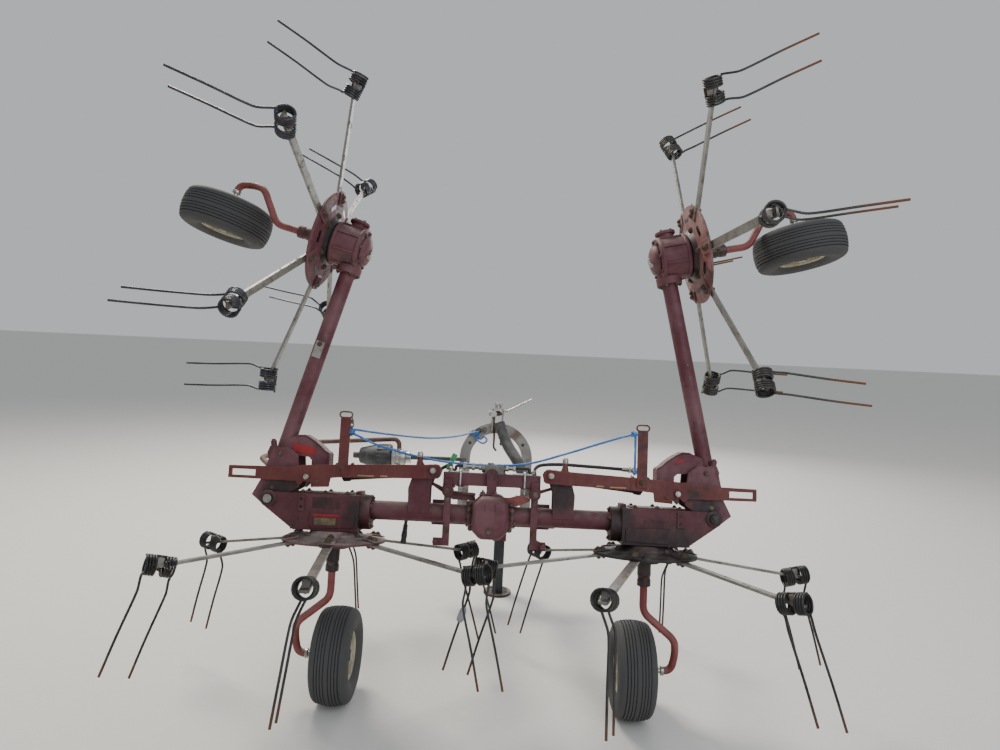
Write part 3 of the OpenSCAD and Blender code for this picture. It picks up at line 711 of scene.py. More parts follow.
class Form:
    """A mesh drawn in millimetres in its own frame, and handed over in the row frame."""

    def __init__(self, name: str, place: Place) -> None:
        """Starts an empty form with a UV layer for what runs along a path.

        Args:
            name: Name of the piece.
            place: The frame that it is drawn in.
        """
        self.name = name
        self.place = place
        self.bm = bmesh.new()
        self.uv = self.bm.loops.layers.uv.new("UVMap")

    def add(self, points: Iterable[Point], faces: Iterable[Sequence[int]]) -> list[bmesh.types.BMFace]:
        """Adds points and the faces between them, and gives the faces back."""
        verts = [self.bm.verts.new(p) for p in points]
        return [self.bm.faces.new([verts[i] for i in face]) for face in faces]

    def join(self, other: "Form", matrix: Matrix) -> None:
        """Takes over another form's mesh.

        Args:
            other: The form, which is used up.
            matrix: Its place in this form's frame.
        """
        mesh = bpy.data.meshes.new(other.name)
        other.bm.transform(matrix)
        other.bm.to_mesh(mesh)
        other.bm.free()
        self.bm.from_mesh(mesh)
        bpy.data.meshes.remove(mesh)

    def plate(self, outline: Outline, y0: float, y1: float) -> "Form":
        """Upright plate.

        Args:
            outline: Its corners in X and Z.
            y0: Where its rear face lies.
            y1: Where its front face lies.

        Returns:
            The form.
        """
        n = len(outline)
        walls = [(k, (k + 1) % n, n + (k + 1) % n, n + k) for k in range(n)]
        self.add([(x, y, z) for y in (y0, y1) for x, z in outline],
                 [tuple(range(n - 1, -1, -1)), tuple(range(n, 2 * n)), *walls])
        return self

    def block(self, low: Point, high: Point) -> "Form":
        """Square block between two corners."""
        (x0, y0, z0), (x1, y1, z1) = low, high
        return self.plate([(x0, z0), (x1, z0), (x1, z1), (x0, z1)], y0, y1)

    def loft(self, sections: Sequence[tuple[float, Outline]]) -> "Form":
        """Closed body through outlines.

        Args:
            sections: The y and the outline in X and Z of each, all with as many corners.

        Returns:
            The form.
        """
        n = len(sections[0][1])
        points = [(x, y, z) for y, outline in sections for x, z in outline]
        last = (len(sections) - 1) * n
        faces = [tuple(range(n - 1, -1, -1)), tuple(range(last, last + n))]
        for s in range(len(sections) - 1):
            faces += [(s * n + k, s * n + (k + 1) % n, (s + 1) * n + (k + 1) % n, (s + 1) * n + k)
                      for k in range(n)]
        self.add(points, faces)
        return self

    def turned(self, profile: Sequence[tuple[float, float]], centre: Point = (0, 0, 0),
               axis: Point = (0, 0, 1), sides: int = 48, around_by: float = 0.0) -> "Form":
        """Closed turned shape.

        Args:
            profile: Radius and height of each corner, all the way round the section.
            centre: Where height 0 lies.
            axis: Direction of the heights.
            sides: Flats round it.
            around_by: Turn of the first flat in degrees.

        Returns:
            The form.
        """
        turn = Vector(axis).to_track_quat("Z", "Y").to_matrix()
        n, base, points = len(profile), Vector(centre), []
        for r, h in profile:
            points += [base + turn @ Vector((x, y, h)) for x, y in around(max(r, 0.0), sides, around_by)]
        faces = [(i * sides + k, i * sides + (k + 1) % sides, (i + 1) % n * sides + (k + 1) % sides,
                  (i + 1) % n * sides + k) for i in range(n) for k in range(sides)]
        self.add(points, faces)
        return self

    def rod(self, a: Point, b: Point, radius: float, sides: int = 28, chamfer: float = 0.8) -> "Form":
        """Turned rod with small chamfers.

        Args:
            a: Middle of one end.
            b: Middle of the other end.
            radius: The rod's radius.
            sides: Flats round it.
            chamfer: Widest chamfer of its ends.

        Returns:
            The form.
        """
        way = Vector(b) - Vector(a)
        c = min(chamfer, radius * 0.4, way.length * 0.3)
        return self.turned(chamfered(radius, way.length, c), a, way, sides)

    def hexagon(self, a: Point, b: Point, radius: float) -> "Form":
        """Hexagonal nut or collar from a to b with chamfered corners, its radius to the corners."""
        way = Vector(b) - Vector(a)
        return self.turned(chamfered(radius, way.length, min(1.4, way.length * 0.25)), a, way, 6, 30.0)

    def bar(self, path: Sequence[Point], radius: float, sides: int = 12, closed: bool = False,
            radii: Optional[Sequence[float]] = None, lobes: float = 0.0, lay: float = 30.0) -> "Form":
        """Round bar along a path, with a UV map whose U is the length in metres.

        Args:
            path: Points along the middle.
            radius: The bar's radius.
            sides: Flats round it.
            closed: Whether the end joins the start.
            radii: A radius for each point, where it changes.
            lobes: Height of the three twisted strands of a rope.
            lay: Length of one full twist.

        Returns:
            The form.
        """
        p = [Vector(q) for q in path]
        n = len(p)
        if closed:
            tangents = [(p[(i + 1) % n] - p[i - 1]).normalized() for i in range(n)]
        else:
            tangents = [(p[min(i + 1, n - 1)] - p[max(i - 1, 0)]).normalized() for i in range(n)]
        normal, run, length = tangents[0].orthogonal().normalized(), [], 0.0
        points = []
        for i in range(n):
            if i:
                normal = (tangents[i - 1].rotation_difference(tangents[i])) @ normal
                length += (p[i] - p[i - 1]).length
            run.append(length * MM)
            side = tangents[i].cross(normal)
            for k in range(sides):
                a = math.tau * k / sides
                twist = 1 + lobes * math.cos(3 * (a + math.tau * length / lay))
                r = (radii[i] if radii else radius) * twist
                points.append(p[i] + r * (normal * math.cos(a) + side * math.sin(a)))
        steps = n if closed else n - 1
        faces = [(i * sides + k, i * sides + (k + 1) % sides, (i + 1) % n * sides + (k + 1) % sides,
                  (i + 1) % n * sides + k) for i in range(steps) for k in range(sides)]
        if not closed:
            faces += [tuple(range(sides - 1, -1, -1)), tuple(range((n - 1) * sides, n * sides))]
        made = self.add(points, faces)
        for j in range(steps * sides):
            i, k = divmod(j, sides)
            for loop, (u, v) in zip(made[j].loops, ((i, k), (i, k + 1), (i + 1, k + 1), (i + 1, k))):
                loop[self.uv].uv = (run[u] if u < n else length * MM, v / sides)
        return self

    def hand_over(self, finish: Finish, body: str = "frame", slot: str = "maroon_paint",
                  replaces: Sequence[str] = (), bevel: float = 0.0, angle: float = 35.0) -> Object:
        """Makes the object in the row frame and puts it on its body.

        Args:
            finish: What its surface is.
            body: The CAD body that it rides on.
            slot: The record's material slot. Not used.
            replaces: CAD nodes that it stands for.
            bevel: Width of its rounded edges in millimetres.
            angle: Angle from which an edge stays sharp.

        Returns:
            The object.
        """
        bmesh.ops.remove_doubles(self.bm, verts=self.bm.verts[:], dist=0.002)
        bmesh.ops.dissolve_degenerate(self.bm, dist=0.001, edges=self.bm.edges[:])
        self.bm.transform(self.place.matrix)
        bmesh.ops.recalc_face_normals(self.bm, faces=self.bm.faces[:])
        mesh = bpy.data.meshes.new(self.name)
        self.bm.to_mesh(mesh)
        self.bm.free()
        return put(self.name, mesh, finish, body, replaces, bevel, angle)


def put(name: str, mesh: Mesh, finish: Finish, body: str,
        replaces: Sequence[str] = (), bevel: float = 0.0, angle: float = 35.0) -> Object:
    """Links a finished mesh as a piece.

    Args:
        name: The piece's name.
        mesh: Its mesh in the row frame, in metres.
        finish: What its surface is.
        body: The CAD body that it rides on.
        replaces: CAD nodes that it stands for.
        bevel: Width of its rounded edges in millimetres.
        angle: Angle from which an edge stays sharp.

    Returns:
        The object.
    """
    mesh.materials.clear()
    mesh.materials.append(finish.material)
    mesh.shade_smooth()
    mesh.set_sharp_from_angle(angle=math.radians(angle))
    piece = bpy.data.objects.new(name, mesh)
    bpy.context.scene.collection.objects.link(piece)
    if bevel:
        edge = piece.modifiers.new("Rounded edges", "BEVEL")
        edge.width, edge.segments = bevel * MM, 2
        edge.limit_method, edge.angle_limit = "ANGLE", math.radians(35)
    if replaces:
        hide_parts(*replaces)
    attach(piece, body)
    LOG.info("%s: %d faces on %s", name, len(mesh.polygons), body)
    return piece


# Geometry Nodes


class Grower:
    """A Geometry Nodes tree with named inputs, run on a mesh to give a plain mesh."""

    def __init__(self, name: str, inputs: dict[str, tuple[str, Any]]) -> None:
        """Makes the tree's sockets, and the nodes that every such tree starts and ends with.

        Args:
            name: The tree's name.
            inputs: Kind and first value of each input, by name.
        """
        self.tree = bpy.data.node_groups.new(name, "GeometryNodeTree")
        face = self.tree.interface
        face.new_socket("Geometry", in_out="INPUT", socket_type="NodeSocketGeometry")
        for label, (kind, value) in inputs.items():
            socket = face.new_socket(label, in_out="INPUT", socket_type=kind)
            if value is not None:
                socket.default_value = value
        face.new_socket("Material", in_out="INPUT", socket_type="NodeSocketMaterial")
        face.new_socket("Geometry", in_out="OUTPUT", socket_type="NodeSocketGeometry")
        self.given = self.tree.nodes.new("NodeGroupInput").outputs

    def node(self, kind: str, settings: Optional[dict[str, Any]] = None,
             inputs: Optional[dict[Any, Any]] = None) -> NodeOutputs:
        """Adds a node and gives its outputs."""
        return add_node(self.tree, kind, settings, inputs).outputs

    def close(self, instances: NodeSocket) -> None:
        """Ends the tree in real geometry with its material.

        Args:
            instances: What the tree has grown.
        """
        real = self.node("GeometryNodeRealizeInstances", inputs={"Geometry": instances})[0]
        done = self.node("GeometryNodeSetMaterial", inputs={
            "Geometry": real, "Material": self.given["Material"]})[0]
        add_node(self.tree, "NodeGroupOutput", inputs={0: done})

    def grow(self, name: str, seed: Mesh, place: Place, finish: Finish, **values: Any) -> Mesh:
        """Runs the tree.

        Args:
            name: Name of the result.
            seed: The mesh that the tree starts from, in millimetres.
            place: Where the result stands.
            finish: Its material.
            **values: Inputs of the tree, with underscores for spaces.

        Returns:
            A plain mesh in the row frame.
        """
        carrier = bpy.data.objects.new(name + "_seed", seed)
        bpy.context.scene.collection.objects.link(carrier)
        modifier = carrier.modifiers.new("Grow", "NODES")
        modifier.node_group = self.tree
        wanted = {key.replace("_", " "): value for key, value in values.items()}
        wanted["Material"] = finish.material
        for item in self.tree.interface.items_tree:
            if item.in_out == "INPUT" and item.name in wanted:
                modifier[item.identifier] = wanted[item.name]
        carrier.update_tag()
        graph = bpy.context.evaluated_depsgraph_get()
        mesh = bpy.data.meshes.new_from_object(carrier.evaluated_get(graph))
        carrier.modifiers.remove(modifier)
        bpy.data.objects.remove(carrier)
        mesh.name = name
        mesh.transform(place.matrix)
        if place.mirrored:
            mesh.flip_normals()
        return mesh


def seed_points(points: Sequence[tuple[Point, Point, float]]) -> Mesh:
    """Loose points for a tree that sets a thing on every point.

    Args:
        points: Place, direction and size of each.

    Returns:
        A mesh of points with the attributes aim and size.
    """
    mesh = bpy.data.meshes.new("seed")
    mesh.from_pydata([tuple(p) for p, _, _ in points], [], [])
    mesh.attributes.new("aim", "FLOAT_VECTOR", "POINT")
    mesh.attributes.new("size", "FLOAT", "POINT")
    for i, (_, way, big) in enumerate(points):
        mesh.attributes["aim"].data[i].vector = Vector(way).normalized()
        mesh.attributes["size"].data[i].value = big
    return mesh


def seed_paths(paths: Sequence[tuple[Sequence[Point], Sequence[float]]]) -> Mesh:
    """Loose lines for a tree that runs along them.

    Args:
        paths: The points of each line, and how near a tip each point is, from 0 to 1.

    Returns:
        A mesh of edges with the attribute tip.
    """
    mesh = bpy.data.meshes.new("seed")
    points, lines, tips = [], [], []
    for path, values in paths:
        lines += [(len(points) + i, len(points) + i + 1) for i in range(len(path) - 1)]
        points += [tuple(p) for p in path]
        tips += list(values)
    mesh.from_pydata(points, lines, [])
    layer = mesh.attributes.new("tip", "FLOAT", "POINT")
    for i, value in enumerate(tips):
        layer.data[i].value = value
    return mesh


class BoltGrower(Grower):
    """Sets a hexagonal bolt head with its washer and thread end on every point."""

    def __init__(self) -> None:
        """Builds the head of unit radius once and turns each copy by a seeded angle."""
        super().__init__("bolt_heads", {
            "Head height": ("NodeSocketFloat", 0.75), "Washer radius": ("NodeSocketFloat", 1.3),
            "Thread length": ("NodeSocketFloat", 1.25), "Seed": ("NodeSocketInt", 7)})
        half = self.node("ShaderNodeMath", {"operation": "MULTIPLY"}, {
            0: self.given["Head height"], 1: 0.5})[0]
        parts = []
        for sides, radius, depth, lift in (
                (6, 1.0, self.given["Head height"], half), (20, self.given["Washer radius"], 0.22, 0.11),
                (12, 0.55, self.given["Thread length"], 0.5)):
            body = self.node("GeometryNodeMeshCylinder", inputs={
                "Vertices": sides, "Radius": radius, "Depth": depth})[0]
            at = self.node("ShaderNodeCombineXYZ", inputs={"Z": lift})[0]
            parts.append(self.node("GeometryNodeTransform", inputs={"Geometry": body, "Translation": at})[0])
        head = add_node(self.tree, "GeometryNodeJoinGeometry")
        for part in parts:
            self.tree.links.new(part, head.inputs[0])
        aim = self.node("GeometryNodeInputNamedAttribute", {"data_type": "FLOAT_VECTOR"}, {"Name": "aim"})[0]
        size = self.node("GeometryNodeInputNamedAttribute", {"data_type": "FLOAT"}, {"Name": "size"})[0]
        stood = self.node("FunctionNodeAlignRotationToVector", {"axis": "Z"}, {"Vector": aim})[0]
        some = add_node(self.tree, "FunctionNodeRandomValue", {"data_type": "FLOAT"}, {
            2: 0.0, 3: math.pi / 3, 8: self.given["Seed"]}).outputs[1]
        spin = self.node("FunctionNodeEulerToRotation", inputs={
            0: self.node("ShaderNodeCombineXYZ", inputs={"Z": some})[0]})[0]
        turned = self.node("FunctionNodeRotateRotation", {"rotation_space": "LOCAL"}, {0: stood, 1: spin})[0]
        self.close(self.node("GeometryNodeInstanceOnPoints", inputs={
            "Points": self.given["Geometry"], "Instance": head.outputs[0], "Rotation": turned,
            "Scale": size})[0])


class SpringGrower(Grower):
    """Winds the double spring of one arm, draws its tines out, and repeats it round the rotor."""

    def __init__(self) -> None:
        """Two spirals and the given lines become wire, one set for each arm."""
        super().__init__("tine_springs", {
            "Arms": ("NodeSocketInt", 6), "Phase": ("NodeSocketFloat", 0.0),
            "Coil radius": ("NodeSocketFloat", 33.5), "Turns": ("NodeSocketFloat", 4.5),
            "Coil length": ("NodeSocketFloat", 31.0), "Inner end": ("NodeSocketFloat", 17.5),
            "Wire radius": ("NodeSocketFloat", 4.5), "Spring at": ("NodeSocketVector", None),
            "Spring turn": ("NodeSocketVector", None)})
        spiral = self.node("GeometryNodeCurveSpiral", inputs={
            "Resolution": 18, "Rotations": self.given["Turns"], "Start Radius": self.given["Coil radius"],
            "End Radius": self.given["Coil radius"], "Height": self.given["Coil length"]})[0]
        inner = self.node("ShaderNodeMath", {"operation": "MULTIPLY"}, {
            0: self.given["Inner end"], 1: -1.0})[0]
        left = self.node("GeometryNodeTransform", inputs={
            "Geometry": spiral, "Rotation": (0.0, -math.pi / 2, 0.0),
            "Translation": self.node("ShaderNodeCombineXYZ", inputs={"X": inner})[0]})[0]
        right = self.node("GeometryNodeTransform", inputs={"Geometry": left, "Scale": (-1.0, 1.0, 1.0)})[0]
        lines = self.node("GeometryNodeMeshToCurve", inputs={0: self.given["Geometry"]})[0]
        wires = add_node(self.tree, "GeometryNodeJoinGeometry")
        for curve in (left, right, lines):
            self.tree.links.new(curve, wires.inputs[0])
        section = self.node("GeometryNodeCurvePrimitiveCircle", inputs={
            "Resolution": 8, "Radius": self.given["Wire radius"]})[0]
        wire = self.node("GeometryNodeCurveToMesh", inputs={
            "Curve": wires.outputs[0], "Profile Curve": section, "Fill Caps": True})[0]
        placed = self.node("GeometryNodeTransform", inputs={
            "Geometry": wire, "Translation": self.given["Spring at"],
            "Rotation": self.given["Spring turn"]})[0]
        step = self.node("ShaderNodeMath", {"operation": "DIVIDE"}, {0: math.tau, 1: self.given["Arms"]})[0]
        turn = self.node("ShaderNodeMath", {"operation": "MULTIPLY_ADD"}, {
            0: self.node("GeometryNodeInputIndex")[0], 1: step, 2: self.given["Phase"]})[0]
        spin = self.node("FunctionNodeEulerToRotation", inputs={
            0: self.node("ShaderNodeCombineXYZ", inputs={"Z": turn})[0]})[0]
        arms = self.node("GeometryNodePoints", inputs={"Count": self.given["Arms"]})[0]
        self.close(self.node("GeometryNodeInstanceOnPoints", inputs={
            "Points": arms, "Instance": placed, "Rotation": spin})[0])


class BeadGrower(Grower):
    """Lays the ripples of a weld bead along lines."""

    def __init__(self) -> None:
        """Flattened drops of seeded sizes, a bead's pitch apart."""
        super().__init__("weld_beads", {
            "Bead radius": ("NodeSocketFloat", 4.0), "Pitch": ("NodeSocketFloat", 4.5),
            "Seed": ("NodeSocketInt", 3)})
        curve = self.node("GeometryNodeMeshToCurve", inputs={0: self.given["Geometry"]})[0]
        spaced = self.node("GeometryNodeCurveToPoints", {"mode": "LENGTH"}, {
            "Curve": curve, "Length": self.given["Pitch"]})
        drop = self.node("GeometryNodeMeshIcoSphere", inputs={"Radius": 1.0, "Subdivisions": 1})[0]
        some = add_node(self.tree, "FunctionNodeRandomValue", {"data_type": "FLOAT"}, {
            2: 0.85, 3: 1.15, 8: self.given["Seed"]}).outputs[1]
        size = self.node("ShaderNodeMath", {"operation": "MULTIPLY"}, {
            0: some, 1: self.given["Bead radius"]})[0]
        self.close(self.node("GeometryNodeInstanceOnPoints", inputs={
            "Points": spaced[0], "Instance": drop, "Scale": size})[0])


class LinkGrower(Grower):
    """Strings oval chain links along points, each a quarter turn from the last."""

    def __init__(self) -> None:
        """An oval wire ring, turned by turns on every point."""
        super().__init__("chain_links", {
            "Link radius": ("NodeSocketFloat", 7.0), "Wire radius": ("NodeSocketFloat", 2.0)})
        ring = self.node("GeometryNodeCurvePrimitiveCircle", inputs={
            "Resolution": 20, "Radius": self.given["Link radius"]})[0]
        ovalled = self.node("GeometryNodeTransform", inputs={
            "Geometry": ring, "Scale": (1.5, 0.85, 1.0), "Rotation": (0.0, math.pi / 2, 0.0)})[0]
        section = self.node("GeometryNodeCurvePrimitiveCircle", inputs={
            "Resolution": 8, "Radius": self.given["Wire radius"]})[0]
        wire = self.node("GeometryNodeCurveToMesh", inputs={"Curve": ovalled, "Profile Curve": section})[0]
        quarter = self.node("ShaderNodeMath", {"operation": "MULTIPLY"}, {
            0: self.node("GeometryNodeInputIndex")[0], 1: math.pi / 2})[0]
        spin = self.node("FunctionNodeEulerToRotation", inputs={
            0: self.node("ShaderNodeCombineXYZ", inputs={"Z": quarter})[0]})[0]
        self.close(self.node("GeometryNodeInstanceOnPoints", inputs={
            "Points": self.given["Geometry"], "Instance": wire, "Rotation": spin})[0])


@dataclass
class Workshop:
    """The trees that every sub-assembly shares."""

    bolts: BoltGrower = field(default_factory=BoltGrower)
    springs: SpringGrower = field(default_factory=SpringGrower)
    beads: BeadGrower = field(default_factory=BeadGrower)
    links: LinkGrower = field(default_factory=LinkGrower)

    def bolted(self, name: str, place: Place, body: str, points: Sequence[tuple[Point, Point, float]],
               finish: Finish = RUSTY_STEEL, slot: str = "maroon_paint") -> Object:
        """Bolt heads at points, each with its direction and radius across the corners."""
        mesh = self.bolts.grow(name, seed_points(points), place, finish)
        return put(name, mesh, finish, body, bevel=0.7, angle=30.0)

    def welded(self, name: str, place: Place, body: str, lines: Sequence[Sequence[Point]],
               finish: Finish = MAROON, radius: float = 4.0) -> Object:
        """Weld beads along lines.

        Args:
            name: The piece's name.
            place: The frame of the lines.
            body: The CAD body that it rides on.
            lines: Points of each bead's line.
            finish: What its surface is.
            radius: Half the bead's width.

        Returns:
            The piece.
        """
        seed = seed_paths([(line, [0.0] * len(line)) for line in lines])
        mesh = self.beads.grow(name, seed, place, finish, Bead_radius=radius, Pitch=radius * 1.3)
        return put(name, mesh, finish, body, angle=60.0)


def repaint(finish: Finish, *nodes: str) -> None:
    """Gives CAD nodes whose shape is right their real finish.

    Args:
        finish: The finish.
        *nodes: Names of the nodes.
    """
    for name in nodes:
        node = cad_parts[name]
        if not node.material_slots:
            node.data.materials.append(None)
        for place in node.material_slots:
            place.material = finish.material
        LOG.info("%s: %s", name, finish.name)


# Camera and light


@dataclass(frozen=True)
class Viewpoint:
    """The photographer's stand, fitted to the photograph as a pinhole camera."""

    at: tuple[float, float, float] = (0.038253, -4.001551, 0.486303)
    yaw: float = 0.5107
    pitch: float = -3.7926
    roll: float = -2.5811
    focal_px: float = 710.227
    image_width: int = 1000
    sensor: float = 36.0

    def make(self) -> None:
        """Makes the camera and the scene's own."""
        data = bpy.data.cameras.new("camera")
        data.sensor_width = self.sensor
        data.lens = self.sensor * self.focal_px / self.image_width
        data.clip_start, data.clip_end = 0.05, 200.0
        camera = bpy.data.objects.new("camera", data)
        bpy.context.scene.collection.objects.link(camera)
        turn = (rotated(self.yaw, "Z") @ rotated(self.pitch, "X") @ rotated(self.roll, "Y")).to_3x3()
        x, y, z = turn.col[0].copy(), turn.col[2].copy(), -turn.col[1].copy()
        matrix = Matrix((x, y, z)).transposed().to_4x4()
        matrix.translation = Vector(self.at)
        camera.matrix_world = matrix
        bpy.context.scene.camera = camera


@dataclass(frozen=True)
class Studio:
    """A pale floor under a high soft key from ahead, with broad fill from the camera's side."""

    floor_z: float = -1.0501
    floor_half: float = 40.0
    pale: str = "#cfcdc8"

    def floor(self) -> None:
        """One large pale ground sheet."""
        mesh = bpy.data.meshes.new("floor")
        h, z = self.floor_half, self.floor_z
        mesh.from_pydata([(-h, -h, z), (h, -h, z), (h, h, z), (-h, h, z)], [], [(0, 1, 2, 3)])
        finish = Moulded("studio_floor", tone=self.pale, bloom="#d6d4cf", dusty=0.3, gloss=0.75, grain_mm=30)
        mesh.materials.append(finish.material)
        sheet = bpy.data.objects.new("floor", mesh)
        bpy.context.scene.collection.objects.link(sheet)

    def lamp(self, name: str, at: Point, aim: Point, size: float, watts: float, tint: str) -> None:
        """One soft square lamp.

        Args:
            name: Its name.
            at: Where it hangs.
            aim: What it looks at.
            size: Length of its sides in metres.
            watts: Its power.
            tint: Its colour as a hex code.
        """
        data = bpy.data.lights.new(name, "AREA")
        data.energy, data.size, data.color = watts, size, linear(tint)[:3]
        lamp = bpy.data.objects.new(name, data)
        lamp.location = at
        lamp.rotation_euler = (Vector(aim) - Vector(at)).to_track_quat("-Z", "Y").to_euler()
        bpy.context.scene.collection.objects.link(lamp)

    def make(self) -> None:
        """Floor, three lamps and an even sky."""
        self.floor()
        self.lamp("key", (-2.6, 2.2, 5.2), (0.0, -0.9, 0.0), 2.2, 520.0, "#fff6ea")
        self.lamp("fill", (2.4, -5.6, 2.6), (0.0, -1.0, 0.0), 4.0, 130.0, "#f2f6ff")
        self.lamp("front", (1.5, 5.0, 2.4), (0.0, -0.6, 0.0), 3.5, 160.0, "#ffffff")
        world = bpy.data.worlds.new("sky")
        world.use_nodes = True
        back = world.node_tree.nodes["Background"]
        back.inputs["Color"].default_value = linear("#dfe3e8")
        back.inputs["Strength"].default_value = 0.7
        bpy.context.scene.world = world


# Cords


@dataclass
class Cords:
    """The blue lock ropes and the black hydraulic hoses, with their knots and fittings."""

    rope_d: float = 9.0
    hose_d: float = 14.0
    seat: float = 0.3
    rope_top: tuple = (
        (-560, -82, 318), (-500, 0, 312), (-400, 200, 306), (-300, 440, 306),
        (-200, 740, 326), (-140, 980, 352), (-120, 1080, 360))
    rope_cross: tuple = (
        (-560, -82, 300), (-470, -50, 262), (-330, -10, 226), (-180, 10, 204), (0, 10, 200),
        (140, 10, 212), (300, -20, 262), (440, -60, 312), (530, -76, 342), (560, -82, 350))
    rope_tail: tuple = ((562, -84, 320), (562, -86, 260), (562, -86, 196))
    hose_left: tuple = (
        (-170, 20, 180), (-174, 50, 194), (-200, 80, 184), (-270, 95, 134), (-330, 100, 60),
        (-350, 104, -20), (-356, 106, -90))
    hose_right: tuple = (
        (170, 20, 180), (188, 58, 204), (260, 84, 214), (400, 90, 212), (566, 90, 206))

    def line(self, name: str, route: Sequence[Point], diameter: float, finish: Finish, slot: str,
             far_end: str, stiffness: str, lay: str, pieces: Sequence[Object]) -> None:
        """Args:
            name: Name of the CAD node that it replaces.
            route: Its points in the leaning frame.
            diameter: Its diameter in millimetres.
            finish: Its material.
            slot: The record's material slot.
            far_end: What is on its far end. Not used.
            stiffness: How stiff it is. Not used.
            lay: How it lies. Not used.
            pieces: The separate pieces on it. Not used.
        """
        path = through(route, 5)
        rope = finish is BLUE_ROPE
        form = Form(name + "_run", MIDDLE).bar(path, diameter / 2, 12 if rope else 16,
                                               lobes=0.07 if rope else 0.0)
        piece = form.hand_over(finish, "frame", slot, [name], angle=80.0)

    def knot(self, name: str, at: Point, size: float, loops: int,
             bight: Sequence[Point] = ()) -> Object:
        """A hand-tied knot of crossing loops.

        Args:
            name: The piece's name.
            at: Its middle in the leaning frame.
            size: Its radius.
            loops: How many turns it has.
            bight: Points of a slack loop that hangs out of it.

        Returns:
            The piece.
        """
        form = Form(name, MIDDLE)
        rng = random.Random(name)
        for _ in range(loops):
            a = Vector([rng.uniform(-1, 1) for _ in range(3)]).normalized()
            b = Vector([rng.uniform(-1, 1) for _ in range(3)])
            b = (b - b.dot(a) * a).normalized()
            r = size * rng.uniform(0.55, 0.95)
            shift = Vector([rng.uniform(-0.2, 0.2) * size for _ in range(3)]) + Vector(at)
            ring = [shift + r * (a * math.cos(t) + 0.7 * b * math.sin(t)) for t in
                    [math.tau * k / 20 for k in range(20)]]
            form.bar(ring, self.rope_d / 2, 8, closed=True, lobes=0.06)
        if bight:
            form.bar(through([at, *bight, at], 8), self.rope_d / 2, 8, lobes=0.06)
        return form.hand_over(BLUE_ROPE, "frame", "blue_rope", angle=80.0)

    def coupler(self, name: str, at: Point, way: Point, cap: Finish) -> Object:
        """Hose end: crimped sleeve, hexagon, quick coupler and dust cap, in one turned piece.

        Args:
            name: The piece's name.
            at: End of the hose.
            way: Direction that the hose ends in.
            cap: Finish of the cap.

        Returns:
            The piece.
        """
        form = Form(name, MIDDLE)
        d = Vector(way).normalized()
        start = Vector(at) - d * 26
        form.turned([(7.05, 0), (9.6, 1), (9.9, 5), (9.4, 8), (9.9, 11), (9.4, 14), (9.9, 17), (9.9, 24),
                     (7.05, 26)], start, d, 24)
        form.hexagon(start + d * 26, start + d * 38, 12.5)
        form.turned([(0, 38), (11, 38), (12.5, 41), (12.5, 52), (11, 55), (11, 60), (12.2, 63), (12.2, 74),
                     (10.5, 77), (0, 77)], start, d, 28)
        return form.hand_over(cap, "frame", "worn_steel", bevel=0.5)

    def ferrule(self, name: str, at: Point) -> Object:
        """Upright hose tail on the channel: union nut and crimped sleeve.

        Args:
            name: The piece's name.
            at: Foot of the nut.

        Returns:
            The piece.
        """
        form = Form(name, MIDDLE)
        base = Vector(at)
        form.hexagon(base, base + Vector((0, 0, 9)), 12.0)
        form.turned([(7.05, 9), (10, 9), (9.2, 12), (9.8, 14), (9.2, 16), (9.8, 18), (7.05, 20)],
                    base, (0, 0, 1), 24)
        return form.hand_over(ZINC, "frame", "worn_steel", bevel=0.5)

    def make(self) -> None:
        """All five cords, in the order of the CAD nodes."""
        x, z = 572 - self.seat, 350 - self.rope_d / 2 - self.seat
        bundle = self.knot("rope_top_bundle", (-116, 1100, 352), 22, 6, (
            (-108, 1094, 318), (-74, 1090, 300), (-54, 1090, 318), (-70, 1092, 336), (-92, 1094, 322)))
        hitch = self.knot("rope_shackle_knot", (-562, -86, 309), 11, 3)
        self.line("rope_top", [(-x, -82, 318), *self.rope_top, (-120, 1120 - self.seat, 362)], self.rope_d,
                  BLUE_ROPE, "blue_rope", "knot", "limp", "loose", [bundle])
        tied = self.knot("rope_cross_knot", (556, -84, 350), 13, 5)
        self.line("rope_cross", [(-x, -82, 300), *self.rope_cross, (x, -82, 350)], self.rope_d,
                  BLUE_ROPE, "blue_rope", "knot", "limp", "loose", [tied, hitch])
        stop = self.knot("rope_tail_knot", (562, -86, 199), 7, 3)
        self.line("rope_tail", [(562, -82, z), *self.rope_tail], self.rope_d, BLUE_ROPE, "blue_rope",
                  "knot", "limp", "hanging", [stop])
        foot = 166 + self.seat
        self.line("hose_left", [(-170, 20, foot), *self.hose_left], self.hose_d, HOSE_RUBBER, "hose_rubber",
                  "connector", "stiff", "hanging",
                  [self.ferrule("hose_left_nut", (-170, 20, foot)),
                   self.coupler("hose_left_coupler", (-356, 106, -90), (-6, 2, -70), BARREL_BLACK)])
        self.line("hose_right", [(170, 20, foot), *self.hose_right], self.hose_d, HOSE_RUBBER, "hose_rubber",
                  "connector", "stiff", "loose",
                  [self.ferrule("hose_right_nut", (170, 20, foot)),
                   self.coupler("hose_right_coupler", (566, 90, 206), (166, 0, -6), ZINC)])


# Rotors and wheels


@dataclass
class Station:
    """One of the four places where the machine has a rotor with its wheel."""

    side: Side
    outer: bool

    @property
    def code(self) -> str:
        """Letters that the CAD nodes of this place carry."""
        return self.side.letter + ("o" if self.outer else "i")

    @property
    def base(self) -> Place:
        """Frame of the half machine or of the folded wing that carries it."""
        return self.side.wing() if self.outer else self.side.still()

    @property
    def rotor_x(self) -> float:
        """Distance of the rotor's axis from the middle."""
        return STANCE.outer_x if self.outer else STANCE.inner_x


